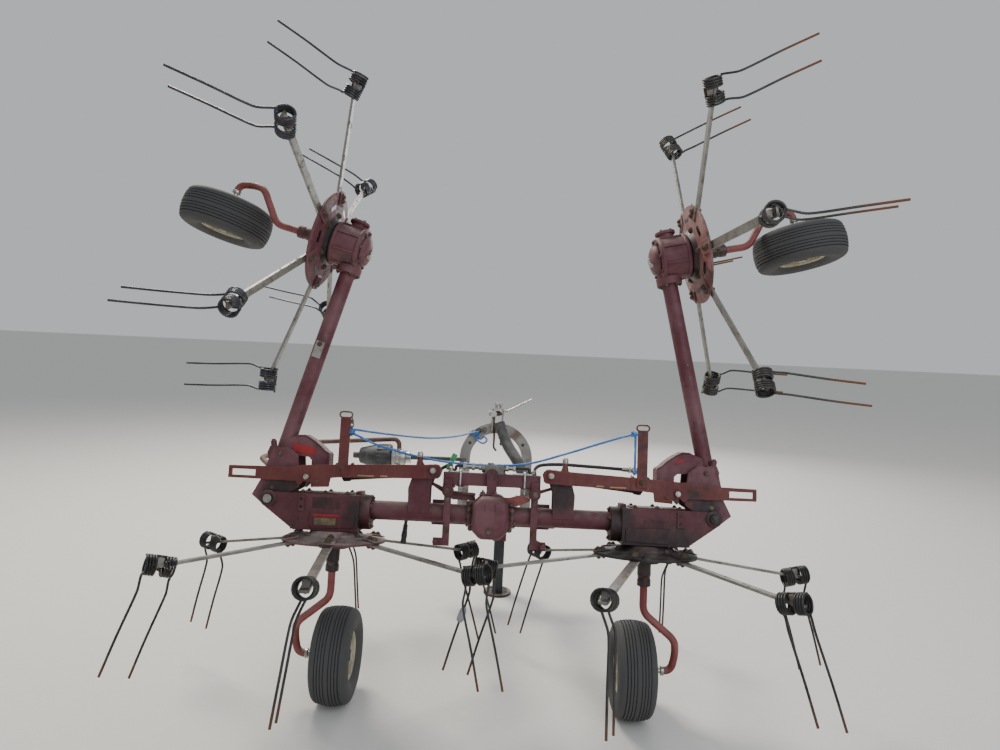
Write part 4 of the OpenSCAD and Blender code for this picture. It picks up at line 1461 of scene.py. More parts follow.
@dataclass
class Rotor(Station):
    """Disc with six flat arms, each with a double spring and two long tines."""

    phase: float
    trail: int
    disc: Finish
    shop: Workshop
    arms: int = 6
    disc_r: float = 205.0
    droop: float = 8.0
    reach: float = 650.0
    tilt: float = 18.0
    arm_t: float = 10.0
    coil_d: float = 76.0
    coil_len: float = 40.0
    coil_gap: float = 26.0
    wire_d: float = 9.0
    tine_drop: float = 388.0
    tine_out: float = 32.0
    tine_trail: float = 50.0

    @property
    def place(self) -> Place:
        """Frame of the rotor, its axis upright."""
        return self.base.moved(Matrix.Translation((-self.rotor_x, 0.0, -STANCE.rotor_drop)))

    @property
    def arm_base(self) -> float:
        """Height of the arms' common plane on the rotor's axis."""
        return -5.0 + 70.0 * math.tan(math.radians(self.droop))

    @property
    def slope(self) -> Matrix:
        """Frame of an arm whose phase is 0."""
        return Matrix.Translation((0.0, 0.0, self.arm_base)) @ rotated(self.droop, "Y")

    def arm(self, k: float) -> Matrix:
        """Frame of arm k, its X along the arm."""
        return rotated(self.phase + k * 360.0 / self.arms, "Z") @ self.slope

    def spring(self) -> Matrix:
        """Frame of the spring in its arm's frame."""
        at = Matrix.Translation((self.reach, 0.0, -0.3 - self.arm_t / 2))
        return at @ rotated(-self.tilt, "Y")

    def wires(self) -> list[tuple[list[Vector], list[float]]]:
        """Lines of the two tines and of the bridge over the clamp.

        Returns:
            The points of each line, and how near the tine's tip each point is.
        """
        root = self.coil_d / 2 - self.wire_d / 2
        pitch = self.coil_len + self.coil_gap
        lines = []
        for s in (-1, 1):
            xs = s * (pitch / 2 + self.coil_len / 2 - self.wire_d / 2 - 1)
            t = self.trail
            path = through([
                (xs, t * 2, -root), (xs - s, t * 8, -root - 14),
                (xs - 6, t * self.tine_trail * 0.5, -root - 56),
                (xs - 4, t * self.tine_trail * 0.6, -root - 84),
                (xs + self.tine_out * 0.5, t * self.tine_trail * 0.8, -(root + 84 + self.tine_drop) / 2),
                (xs + self.tine_out, t * self.tine_trail, -self.tine_drop)], 4)
            run = [0.0]
            for a, b in zip(path, path[1:]):
                run.append(run[-1] + (b - a).length)
            lines.append((path, [q / run[-1] for q in run]))
        inner = pitch / 2 - self.coil_len / 2 + self.wire_d / 2
        bridge = [Vector((-inner, 0, root)), Vector((0, 0, root - 0.5)), Vector((inner, 0, root))]
        lines.append((bridge, [0.0] * 3))
        return lines

    def make_springs(self) -> None:
        """Wound springs and tines in place of the plain CAD rings."""
        stand = self.slope @ self.spring()
        wire = {"lo": CLEAN_WIRE, "ro": RUSTY_WIRE}.get(self.code, SPRING_WIRE)
        mesh = self.shop.springs.grow(
            f"springs_{self.code}", seed_paths(self.wires()), self.place, wire, Arms=self.arms,
            Phase=math.radians(self.phase), Coil_radius=self.coil_d / 2 - self.wire_d / 2, Turns=4.0,
            Coil_length=self.coil_len - 1.6, Inner_end=self.coil_gap / 2 - 3.0,
            Wire_radius=self.wire_d / 2, Spring_at=tuple(stand.translation),
            Spring_turn=tuple(stand.to_euler()))
        put(mesh.name, mesh, wire, f"rotor_{self.code}", [f"tines_{self.code}"], angle=60.0)

    def make_disc(self) -> None:
        """Rolled rim, arm lugs, seal ring, and on outer rotors dark ovals of painted shade where the disc's
        slots are.
        """
        body = f"rotor_{self.code}"
        fall = (self.disc_r - 70) * math.tan(math.radians(self.droop))
        rim = Form(f"disc_rim_{self.code}", self.place)
        ring = [(self.disc_r - 4 + r, z) for r, z in around(5.5, 10)]
        rim.turned(ring, (0, 0, 1 - fall), sides=72)
        for k in range(self.arms):
            lug = Form("lug", self.place).plate(
                [(150, 10.1), (214, 10.1), (214, 13), (196, 16), (158, 16)], -29, 29)
            rim.join(lug, self.arm(k))
        rim.hand_over(self.disc, body, "greasy_paint", bevel=2.0)
        seal = Form(f"bearing_seal_{self.code}", self.place)
        seal.turned([(27.5, 1), (112, -4), (108, 2), (98, 9), (92, 17), (88, 18.5), (27.5, 18.5)], sides=56)
        seal.hand_over(self.disc if self.disc is DUSTY_DISC else GREASY, body, "greasy_paint")
        if not self.outer:
            return
        # painted shade: thin near-black ovals, proud of the disc, stand for the shade inside its slots
        painted_slot_shading = Form(f"disc_slot_shade_{self.code}", self.place)
        for k in range(self.arms):
            turn = self.arm(k + 0.5)
            points = [(150 + z, x, h) for h in (9.9, 10.9) for x, z in oval(52, 17)]
            n = len(points) // 2
            walls = [(i, (i + 1) % n, n + (i + 1) % n, n + i) for i in range(n)]
            painted_slot_shading.add([turn @ Vector(p) for p in points],
                      [tuple(range(n)), tuple(range(n, 2 * n)), *walls])
        painted_slot_shading.hand_over(HOLE_SHADE, body, "greasy_paint")

    def make_bolts(self) -> None:
        """Bolts of the arms on the disc and of the clamps in the springs."""
        body, heads, clamps = f"rotor_{self.code}", [], []
        for k in range(self.arms):
            arm = self.arm(k)
            up = arm.to_3x3() @ Vector((0, 0, 1))
            heads += [(arm @ Vector((x, 0, 15.5)), up, 11.0) for x in (172, 192)]
            heads += [(arm @ Vector((110, 0, 10.2)), up, 11.0)]
            heads += [(arm @ Vector((x, 0, -10.4)), -up, 10.0) for x in (110, 172, 192)]
            spring = arm @ self.spring()
            out = spring.to_3x3() @ Vector((0, 0, 1))
            clamps += [(spring @ Vector((0, -1, 29.5)), out, 6.5),
                       (spring @ Vector((0, 0, -7.0)), -out, 9.0)]
        self.shop.bolted(f"arm_bolts_{self.code}", self.place, body, heads, RUSTY_STEEL, "greasy_paint")
        self.shop.bolted(f"clamp_bolts_{self.code}", self.place, body, clamps, RUSTY_STEEL, "spring_steel")

    def make_tag(self) -> None:
        """Plain scrap of gray film folded round one tine, which hangs near the middle."""
        arm, tine, spot = 5, 1, 0.4
        path, run = self.wires()[tine]
        i = next(k for k, q in enumerate(run) if q >= spot)
        y = (path[i + 1] - path[i - 1]).normalized()
        x = (Vector((1, 0, 0)) - y.x * y).normalized()
        turn = Matrix((x, y, x.cross(y))).transposed().to_4x4()
        place = self.place.moved(self.arm(arm) @ self.spring() @ Matrix.Translation(path[i]) @ turn)
        tag = Form("paper_tag", place).loft([
            (-26, oval(15, 10)), (-14, oval(27, 11)), (20, oval(29, 11)), (30, oval(19, 10))])
        tag.hand_over(Moulded("tag_film", tone="#7f8085", bloom="#a3a4aa", gloss=0.55), f"rotor_{self.code}",
                      "spring_steel")

    def make(self) -> None:
        """The whole rotor."""
        repaint(self.disc, f"hub_{self.code}")
        repaint(ARM_STEEL, f"arms_{self.code}")
        self.make_springs()
        self.make_disc()
        self.make_bolts()
        if self.code == "ri":
            self.make_tag()


@dataclass
class Wheel(Station):
    """Ribbed tyre on a dished rim, its bent leg and stub axle."""

    shop: Workshop
    tyre_r: float = 190.0
    tyre_w: float = 154.0
    rim_r: float = 93.0
    wheel_in: float = 30.0
    ahead: float = 60.0
    leg_d: float = 30.0
    leg_out: float = 136.0
    sleeve_d: float = 54.0
    sleeve_low: float = -250.0
    axle_r: float = 10.0
    leg_clear: float = 46.0

    @property
    def axle_z(self) -> float:
        """Height of the axle in the leaning frame."""
        high = STANCE.tube_h - self.tyre_r - self.ahead * math.sin(STANCE.tilt)
        return -high / math.cos(STANCE.tilt)

    @property
    def axle(self) -> Place:
        """Frame of the wheel, its Z along the axle towards the middle."""
        at = Matrix.Translation((-self.rotor_x + self.wheel_in, self.ahead, self.axle_z))
        return self.base.moved(at @ rotated(90.0, "Y"))

    def tyre_profile(self) -> list[tuple[float, float]]:
        """Section of the tyre: bead, sidewall ring, shoulder and ribs.

        Returns:
            Radius and height of each corner.
        """
        r, w = self.tyre_r, self.tyre_w / 2
        half = [(self.rim_r, w - 24), (self.rim_r + 6, w - 17), (self.rim_r + 22, w - 6),
                (self.rim_r + 38, w - 1.5), (self.rim_r + 44, w), (self.rim_r + 50, w - 1),
                (self.rim_r + 62, w - 1.6), (r - 27, w - 4.5), (r - 19, w - 8), (r - 13, w - 13),
                (r - 9, w - 19)]
        z = w - 22
        while z > 6:
            high = r - 0.3 - 7.5 * (z / (w - 22)) ** 2.6
            half += [(high, z), (high, z - 8.2), (high - 4.5, z - 8.8), (high - 4.5, z - 11.2)]
            z -= 11.8
        half += [(r, z), (r, 0)]
        return half + [(x, -z) for x, z in reversed(half[:-1])]

    def make_wheel(self) -> None:
        """Tyre, rim trim, hub nuts and valve."""
        body = f"wheel_{self.code}"
        tyre = Form(f"ribbed_tyre_{self.code}", self.axle).turned(self.tyre_profile(), sides=96)
        tyre.hand_over(TYRE_RUBBER, body, "tyre_rubber", [f"tyre_{self.code}"], angle=40.0)
        trim = Form(f"rim_trim_{self.code}", self.axle)
        for s in (-1, 1):
            z = s * (self.tyre_w / 2 - 24)
            trim.turned([(self.rim_r - 2 + a, z + b) for a, b in around(4.0, 10)], sides=64)
        trim.turned([(30, 2), (44, 2.5), (46, 6), (34, 10), (30, 10)], sides=48)
        trim.hand_over(RIM_CREAM, body, "rim_paint")
        hub = Form(f"hub_cap_{self.code}", self.axle)
        hub.turned([(10.2, 46), (24, 46), (26, 49), (24, 53), (14, 55), (10.2, 55)], sides=32)
        hub.turned([(10.2, -46), (24, -46), (26, -49), (24, -53), (14, -55), (10.2, -55)], sides=32)
        hub.rod((68, 8, -8), (74, 10, 22), 4.0, 12)
        hub.hand_over(GREASY, body, "rim_paint", bevel=0.6)
        nuts = [((x, y, 10.0 * s), (0, 0, s), 8.0) for x, y in around(38, 4) for s in (1, -1)]
        self.shop.bolted(f"wheel_nuts_{self.code}", self.axle, body, nuts, RUSTY_STEEL, "rim_paint")

    def make_leg(self) -> None:
        """Sleeve, smoothly bent leg bar, stub axle, collar and washer, and the sleeve's bolts."""
        x, low = self.rotor_x, self.sleeve_low
        body = f"wing_{self.side.value}" if self.outer else "frame"
        wide = x + self.leg_out
        wz, wy, over = self.axle_z, self.ahead, self.axle_z + self.tyre_r + self.leg_clear
        sleeve = Form(f"leg_sleeve_{self.code}", self.base)
        r = self.sleeve_d / 2
        sleeve.turned([(0, 0), (r - 3, 0), (r, 3), (r, 26), (r - 2, 28), (r - 2, 40), (r, 42), (r, 166),
                       (0, 166)], (-x, 0, low), sides=40)
        black = self.side is Side.RIGHT and self.outer
        sleeve.hand_over(GREASY if black or not self.outer else MAROON, body, "maroon_paint",
                         [f"leg_{self.code}"])
        path = bend([(-x, 0, low + 4), (-x, 4, over), (-wide + 6, 12, over - 105),
                     (-wide - 6, wy - 10, over - 165), (-wide + 8, wy, wz), (-wide + 40, wy, wz)], 31, 10)
        Form(f"leg_bar_{self.code}", self.base).bar(path, self.leg_d / 2, 20).hand_over(
            SALMON, body, "maroon_paint", angle=60.0)
        axle = Form(f"stub_axle_{self.code}", self.base)
        axle.rod((-wide + 20, wy, wz), (-x + self.wheel_in + 60, wy, wz), self.axle_r)
        axle.rod((-wide + 38, wy, wz), (-wide + 50, wy, wz), 19.0)
        axle.turned([(self.axle_r, 0), (17, 0), (17, 3), (self.axle_r, 3)],
                    (-x + self.wheel_in + 55.6, wy, wz), (1, 0, 0), 24)
        axle.hand_over(BRIGHT_STEEL, body, "bare_steel")
        bolts = [((-x, s * (r + 0.2), low + 34), (0, s, 0), 8.0) for s in (-1, 1)]
        self.shop.bolted(f"leg_bolts_{self.code}", self.base, body, bolts)

    def make(self) -> None:
        """The wheel and its leg."""
        repaint(RIM_CREAM, f"rim_{self.code}")
        self.make_wheel()
        self.make_leg()


# The fixed frame


@dataclass
class CentralGearbox:
    """Cast bevel gearbox with its bolted cover, plugs and splined input shaft."""

    shop: Workshop
    width: float = 146.0
    length: float = 190.0
    height: float = 172.0
    chamfer: float = 34.0
    spline_r: float = 17.4
    ears: tuple[tuple[float, float], ...] = ((82, 50), (84, 24), (84, -4), (78, -50))

    def outline(self, inset: float, round_by: float = 12.0) -> list[tuple[float, float]]:
        """Rounded eight-sided outline of the casting.

        Args:
            inset: How far it is drawn in from the casting's widest.
            round_by: Length that each corner's arc takes from its sides.

        Returns:
            Its corners in X and Z.
        """
        w, c = self.width / 2 - inset, self.chamfer - inset * 0.3
        top, low = self.height / 2 - 4 - inset, -self.height / 2 - 4 + inset
        corners = [(-w, low + c), (-w, top - c), (-w + c, top), (w - c, top),
                   (w, top - c), (w, low + c), (w - c, low), (-w + c, low)]
        points = []
        for i, (x, z) in enumerate(corners):
            here = Vector((x, z))
            before, after = Vector(corners[i - 1]), Vector(corners[(i + 1) % 8])
            a = here + (before - here).normalized() * round_by
            b = here + (after - here).normalized() * round_by
            points += [tuple((1 - t) ** 2 * a + 2 * t * (1 - t) * here + t * t * b)
                       for t in (0, 0.33, 0.67, 1)]
        return points

    def make(self) -> None:
        """Casting, cover ribs, bosses, plugs and shaft."""
        half = self.length / 2
        case = Form("gearbox_casting", MIDDLE)
        # where each section lies, and how far it is drawn in
        sections = ((half, 6), (half - 6, 0), (20, 0), (14, 3), (-30, 3), (-34, -2), (-48, -2), (-52, 1),
                    (-84, 2), (-98, 6), (-106, 12), (-110, 22))
        case.loft([(y, self.outline(inset)) for y, inset in sections])
        case.turned([(0, 0), (48, 0), (48, 34), (44, 40), (0, 40)], (0, half, 0), (0, 1, 0), 48)
        for x in (-20, 20):
            case.block((x - 2, -113, 22), (x + 2, -104, 50))
        for s in (-1, 1):
            case.turned([(38.2, 0), (47, 0), (50, 4), (50, 17), (47, 20), (38.2, 20)],
                        (s * self.width / 2, 0, 0), (s, 0, 0), 40)
            for x, z in self.ears:
                case.turned([(0, 0), (10, 0), (10.5, 2), (10.5, 22), (10, 24), (0, 24)],
                            (s * x, -62, z), (0, 1, 0), 20)
                case.block((min(s * 60, s * x), -60, z - 9), (max(s * 60, s * x), -40, z + 9))
        case.turned([(0, 0), (15, 0), (15, 6), (0, 6)], (-34, -58, 80), (0, 0, 1), 24)
        case.turned([(0, 0), (17, 0), (17, 8), (0, 8)], (12, -62, 80), (0, 0, 1), 24)
        case.hand_over(CHALKED, "frame", "maroon_paint", ["center_gearbox"], bevel=2.2)
        plugs = Form("gearbox_plugs", MIDDLE)
        plugs.hexagon((-34, -58, 86), (-34, -58, 95), 12).hexagon((12, -62, 88), (12, -62, 97), 13)
        plugs.hexagon((0, -108, -54), (0, -122, -54), 13)
        plugs.rod((-34, -58, 94), (-34, -58, 102), 4)
        plugs.hand_over(RUSTY_STEEL, bevel=0.6)
        ears = [((s * x, -62, z), (0, -1, 0), 7.0) for s in (-1, 1) for x, z in self.ears]
        self.shop.bolted("gearbox_bolts", MIDDLE, "frame", ears)
        out = self.width / 2 + 20
        ring = [((s * out, y, z), (s, 0, 0), 6.0) for s in (-1, 1) for y, z in around(44, 6, 30)]
        self.shop.bolted("gearbox_side_bolts", MIDDLE, "frame", ring)
        r, teeth = self.spline_r, []
        for k in range(6):
            for a, q in ((-14, r), (14, r), (16, r - 3.4), (44, r - 3.4)):
                t = math.radians(60 * k + a)
                teeth.append((q * math.cos(t), q * math.sin(t)))
        shaft = Form("splined_shaft", MIDDLE)
        shaft.plate(teeth, half + 40, half + 112).rod((0, half + 110, 0), (0, half + 118, 0), r - 3.4)
        shaft.plate(teeth, half + 117, half + 130)
        shaft.hand_over(BRIGHT_STEEL, "frame", "worn_steel", ["input_shaft"], bevel=0.8)


@dataclass
class MainTube:
    """Cross tube with its strap plates, link uprights, gussets and the channel over the gearbox."""

    shop: Workshop
    tube_r: float = 38.0
    channel_z: tuple[float, float] = (116.0, 166.0)

    def make_gussets(self) -> None:
        """Sloping plates between the gearbox's shoulders and the uprights."""
        plates = Form("shoulder_gussets", MIDDLE)
        plates.plate([(-62, 56), (-70, 84), (-150, 84), (-240, 122), (-246, 112), (-156, 56)], -6, 6)
        plates.plate([(-64, 76), (-66, 84), (-152, 90), (-152, 82)], -26, 30)
        plates.plate([(150, 92), (240, 122), (246, 112), (154, 78)], -6, 6)
        plates.hand_over(MAROON, bevel=1.5)
        light = Form("shoulder_plate", MIDDLE)
        light.plate([(44, 76), (72, 76), (118, 89), (156, 74), (156, 66), (102, 42), (60, 46)], -52, -46)
        light.block((98, -46.1, 44), (104, 10, 84))
        light.hand_over(SALMON, bevel=1.2)

    def make_straps(self) -> None:
        """Bolted clamp plates and lugs of the two straps, and the lug on the channel's middle."""
        lugs = Form("strap_lugs", MIDDLE)
        for s in (-1, 1):
            lugs.turned([(6, -8), (22, -8), (24, -6), (24, 4), (22, 6), (6, 6)],
                        (s * 173, -60, 92), (0, -1, 0), 28)
            lugs.block((min(s * 150, s * 196), -45, 104), (max(s * 150, s * 196), 45, 115.8))
            lugs.turned([(0, 0), (10, 0), (10, 26), (0, 26)], (s * 210, -70, -107), (0, -1, 0), 20)
        lugs.turned([(0, -11), (22, -11), (24, -9), (24, 9), (22, 11), (0, 11)],
                    (0, -56, 166), (0, -1, 0), 36)
        lugs.hand_over(MAROON, bevel=1.2)
        heads = [((s * 173, -58.2, z), (0, -1, 0), 9.0) for s in (-1, 1) for z in (-60, 60)]
        heads += [((s * 173, -68.2, 92), (0, -1, 0), 10.0) for s in (-1, 1)]
        self.shop.bolted("strap_bolts", MIDDLE, "frame", heads)

    def make_u_bolts(self) -> None:
        """Bright U-bolts over the channel with their nuts and pressure plates."""
        bolts = Form("channel_u_bolts", MIDDLE)
        low, high = self.channel_z
        for x in (-126, 131):
            path = bend([(x, -51, low - 26), (x, -51, high + 9), (x, 51, high + 9), (x, 51, low - 26)],
                        12, 6)
            bolts.bar(path, 4.8, 12)
            for y in (-51, 51):
                bolts.hexagon((x, y, low - 14), (x, y, low - 4), 9.5)
            bolts.block((x - 46, -40, high + 0.2), (x + 30, 40, high + 4.6))
        bolts.hand_over(ZINC, "frame", "worn_steel", bevel=0.6)
        under = Form("channel_pads", MIDDLE)
        for x in (-126, 131):
            under.block((x - 16, -60, low - 4), (x + 16, 60, low - 0.4))
        under.hand_over(MAROON, bevel=1.0)

    def make_valve(self) -> None:
        """Hydraulic block on the channel with its unions and rigid pipes to the two hoses."""
        top = self.channel_z[1]
        block = Form("hydraulic_block", MIDDLE)
        block.block((-30, -6, top + 4.8), (46, 30, top + 34))
        block.rod((-44, 14, top + 19), (52, 14, top + 19), 15)
        block.rod((-8, 14, top + 34), (-8, 14, top + 44), 12).rod((28, 14, top + 34), (28, 14, top + 40), 9)
        block.block((-40, -10, top + 0.2), (56, 34, top + 5))
        block.hand_over(DULL_CASTING, "frame", "worn_steel", bevel=2.0)
        unions = Form("hydraulic_unions", MIDDLE)
        # start, end and radius of each, the thick ones hexagons
        for x0, x1, r in ((-44, -58, 15), (-58, -72, 11), (-72, -86, 15.5), (-86, -108, 12),
                          (-108, -122, 15), (52, 66, 15), (66, 82, 11), (82, 94, 14.5)):
            shape = unions.hexagon if r > 14 else unions.rod
            shape((x0, 20, top + 26), (x1, 20, top + 26), r)
        unions.hand_over(ZINC, "frame", "worn_steel", bevel=0.6)
        pipes = Form("rigid_pipes", MIDDLE)
        for start, s in ((-120, -1), (88, 1)):
            path = bend([(start, 20, top + 26), (s * 150, 20, top + 26), (s * 150, 20, top + 8),
                         (s * 170, 20, top + 7)], 9, 6)
            pipes.bar(path, 6, 14)
        for x in (-170, 170):
            pipes.rod((x, 20, top - 0.2), (x, 20, top + 2), 11)
        pipes.hand_over(BARREL_BLACK, "frame", "hose_rubber", bevel=0.4)
        cap = Form("green_dust_cap", MIDDLE)
        cap.rod((-186, 44, 172), (-164, 52, 224), 9, 20).rod((-168, 50, 214), (-158, 54, 238), 11, 20)
        cap.hand_over(GREEN_CAP, "frame", "guard_plastic", bevel=0.8)

    def make_welds(self) -> None:
        """Weld beads at the feet of the uprights."""
        lines = []
        for s in (-1, 1):
            for y in (-43.5, -30.5, 30.5, 43.5):
                z = math.sqrt(max(0.0, self.tube_r ** 2 - min(abs(y), 37.0) ** 2))
                lines.append([(s * x, y * 0.86, z + 1) for x in (-330, -290, -250)])
        self.shop.welded("upright_welds", MIDDLE, "frame", lines)

    def make(self) -> None:
        """Everything on the main tube between the two housings."""
        repaint(TUBE_RED, "main_tube")
        repaint(MAROON, "cross_channel", "drawbar")
        self.make_gussets()
        self.make_straps()
        self.make_u_bolts()
        self.make_valve()
        self.make_welds()


@dataclass
class Housing:
    """Inner rotor's gear housing with flange bolts, side pad, cover panel and hinge bosses."""

    side: Side
    shop: Workshop
    half_w: float = 75.0
    flange_x: float = 480.0

    def make(self) -> None:
        """Everything bolted or welded to the housing."""
        name, place, h = self.side.value, self.side.still(), self.half_w
        enamel = HOUSING_RED if self.side is Side.LEFT else OILY_HOUSING
        repaint(enamel, f"housing_{name}")
        trim = Form(f"housing_trim_{name}", place)
        for y0, y1 in ((-h - 5, -h - 0.1), (h + 0.1, h + 5)):
            trim.plate([(-708, -18), (-540, -18), (-534, -26), (-534, -70), (-700, -76), (-716, -60)],
                       y0, y1)
        trim.block((-765, -58, 58.1), (-560, 58, 62.5))
        for s in (-1, 1):
            trim.turned([(16.2, 0), (33, 0), (33, 2.6), (30, 4.6), (16.2, 4.6)],
                        (-STANCE.hinge_x, s * h, STANCE.hinge_z), (0, s, 0), 36)
        trim.hand_over(enamel, bevel=1.4)
        # painted shade: thin near-black discs on the pad stand for the shade inside its holes
        hole_shade = Form(f"pad_hole_shade_{name}", place)
        for z in (36, 6):
            hole_shade.rod((-747.5, -h - 5.2, z), (-747.5, -h - 6.6, z), 6.2, 20, 0.3)
        hole_shade.hand_over(HOLE_SHADE)
        film = Form(f"old_film_{name}", place)
        if self.side is Side.RIGHT:
            film.block((-706, -h - 0.9, -14), (-606, -h - 0.1, 16))
            film.hand_over(OLD_GLUE)
        else:
            film.block((-690, -h - 6.0, -62), (-606, -h - 5.1, -34))
            film.hand_over(OLD_FILM)
            glue = Form("decal_place", place)
            glue.block((-704, -h - 0.9, 2), (-592, -h - 0.1, 44))
            glue.hand_over(OLD_GLUE)
            strip = Form("fresh_strip", place)
            strip.block((-696, -h - 5.9, -30), (-596, -h - 5.1, -19))
            strip.hand_over(FRESH_RED)
        heads = [((-self.flange_x + 0.2, y, z - 10), (1, 0, 0), 9.0) for y, z in around(56, 6, 30)]
        heads += [((x, y, 62.6), (0, 0, 1), 8.0) for x in (-752, -662, -574) for y in (-46, 46)]
        self.shop.bolted(f"housing_bolts_{name}", place, "frame", heads)
        self.shop.welded(f"housing_welds_{name}", place, "frame", [
            [(-736, -h - 1, 48), (-736, -h - 1, -10)], [(-760, -h - 1, 48), (-760, -h - 1, -10)],
            [(-522, -40, 58), (-522, 40, 58)]], radius=2.6)


@dataclass
class TransportLink:
    """Channel that holds the folded wing: pins, catch, painted slot highlights, handle ring and rope
    shackle.
    """

    side: Side
    shop: Workshop
    web_y: float = -78.0
    handle_x: float = -592.0
    handle_top: float = 365.0
    pivot: tuple[float, float] = (-234.0, 170.0)
    eye: tuple[float, float] = (-734.1, 123.1)

    def make_ring(self) -> None:
        """Flattened wire ring on top of the handle."""
        name = self.side.value
        x, z = self.handle_x, self.handle_top
        outline = [(x + a, self.web_y - 4, z + 10 + b) for a, b in oval(50, 23, 8)]
        ring = Form(f"handle_ring_{name}", self.side.still()).bar(outline, 3.4, 10, closed=True)
        finish = RUSTY_STEEL if self.side is Side.LEFT else LINK_RED
        ring.hand_over(finish, "frame", "link_paint", angle=60.0)

    def make_catch(self) -> None:
        """Dark catch under the eye's pin, and pale strips of painted highlight along the web's slots."""
        name, y = self.side.value, self.web_y
        catch = Form(f"link_catch_{name}", self.side.still())
        catch.plate([(-762, 124), (-742, 134), (-718, 130), (-716, 104), (-726, 88), (-736, 80), (-742, 90),
                     (-738, 102), (-758, 108)], y + 10.5, y + 22)
        catch.hand_over(GREASY, "frame", "greasy_paint", bevel=1.5)
        # painted highlight: thin pale strips on the web stand for light caught along its slots
        painted_slot_shading = Form(f"link_slot_highlight_{name}", self.side.still())
        for x, z, length in ((-499, 137, 66), (-428, 139, 30)):
            painted_slot_shading.plate([(x + a, z + b) for a, b in oval(length, 6)], y - 1.4, y - 0.1)
        painted_slot_shading.hand_over(SLOT_HIGHLIGHT, "frame", "link_paint", bevel=0.4)

    def make_lug(self) -> None:
        """Upright stud with a bright cap beside the link's pivot."""
        stud = Form(f"pivot_lug_{self.side.value}", self.side.still())
        stud.turned([(0, 0), (15, 0), (14, 5), (11, 20), (10, 34), (0, 34)], (-290, -60, 188), (0, 0, 1), 28)
        stud.hand_over(LINK_RED, "frame", "link_paint", bevel=0.8)
        cap = Form(f"pivot_cap_{self.side.value}", self.side.still())
        cap.turned([(0, 0), (11.5, 0), (12, 2), (12, 14), (10, 18), (8, 22), (0, 22)],
                   (-290, -60, 221), (0, 0, 1), 28)
        cap.hand_over(ZINC, "frame", "worn_steel", bevel=0.6)

    def make_shackle(self) -> None:
        """Chain beside the left handle, which holds both ropes."""
        points = [((-566, -86, 352 - 16 * k), (0, 0, 1), 1.0) for k in range(4)]
        mesh = self.shop.links.grow("shackle_chain", seed_points(points), MIDDLE, RUSTY_STEEL,
                                    Link_radius=7.5, Wire_radius=2.2)
        put("shackle_chain", mesh, RUSTY_STEEL, "frame", angle=60.0)
        plate = Form("shackle_plate", MIDDLE)
        plate.block((-572, -87, 292), (-567, -77, 330)).rod((-572, -82, 352), (-560, -82, 352), 4, 14)
        plate.hand_over(RUSTY_STEEL, "frame", "worn_steel", bevel=0.8)

    def make(self) -> None:
        """The link's trim."""
        name, y = self.side.value, self.web_y
        repaint(LINK_RED, f"link_{name}")
        self.make_ring()
        self.make_catch()
        self.make_lug()
        heads = [((self.pivot[0], y - 12, self.pivot[1]), (0, -1, 0), 8.5),
                 ((self.pivot[0], 50, self.pivot[1]), (0, 1, 0), 8.5),
                 ((self.eye[0], y - 10, self.eye[1]), (0, -1, 0), 8.0)]
        self.shop.bolted(f"link_pins_{name}", self.side.still(), "frame", heads, ZINC, "worn_steel")
        rusty = [((self.handle_x, y - 16, 162), (0, -1, 0), 8.0), ((-690, y - 0.2, 106), (0, -1, 0), 6.0)]
        rusty += [((x, y + 16, z), (0, 0, 1), 6.0) for x, z in ((-620, 176), (-560, 178))]
        self.shop.bolted(f"link_bolts_{name}", self.side.still(), "frame", rusty, RUSTY_STEEL, "link_paint")
        self.shop.welded(f"link_welds_{name}", self.side.still(), "frame", [
            [(-550, y - 0.5, 186), (-549, y - 0.5, 130)], [(-648, y - 0.5, 96), (-712, y - 0.5, 96)]],
                         LINK_RED, 2.6)
        if self.side is Side.LEFT:
            self.make_shackle()


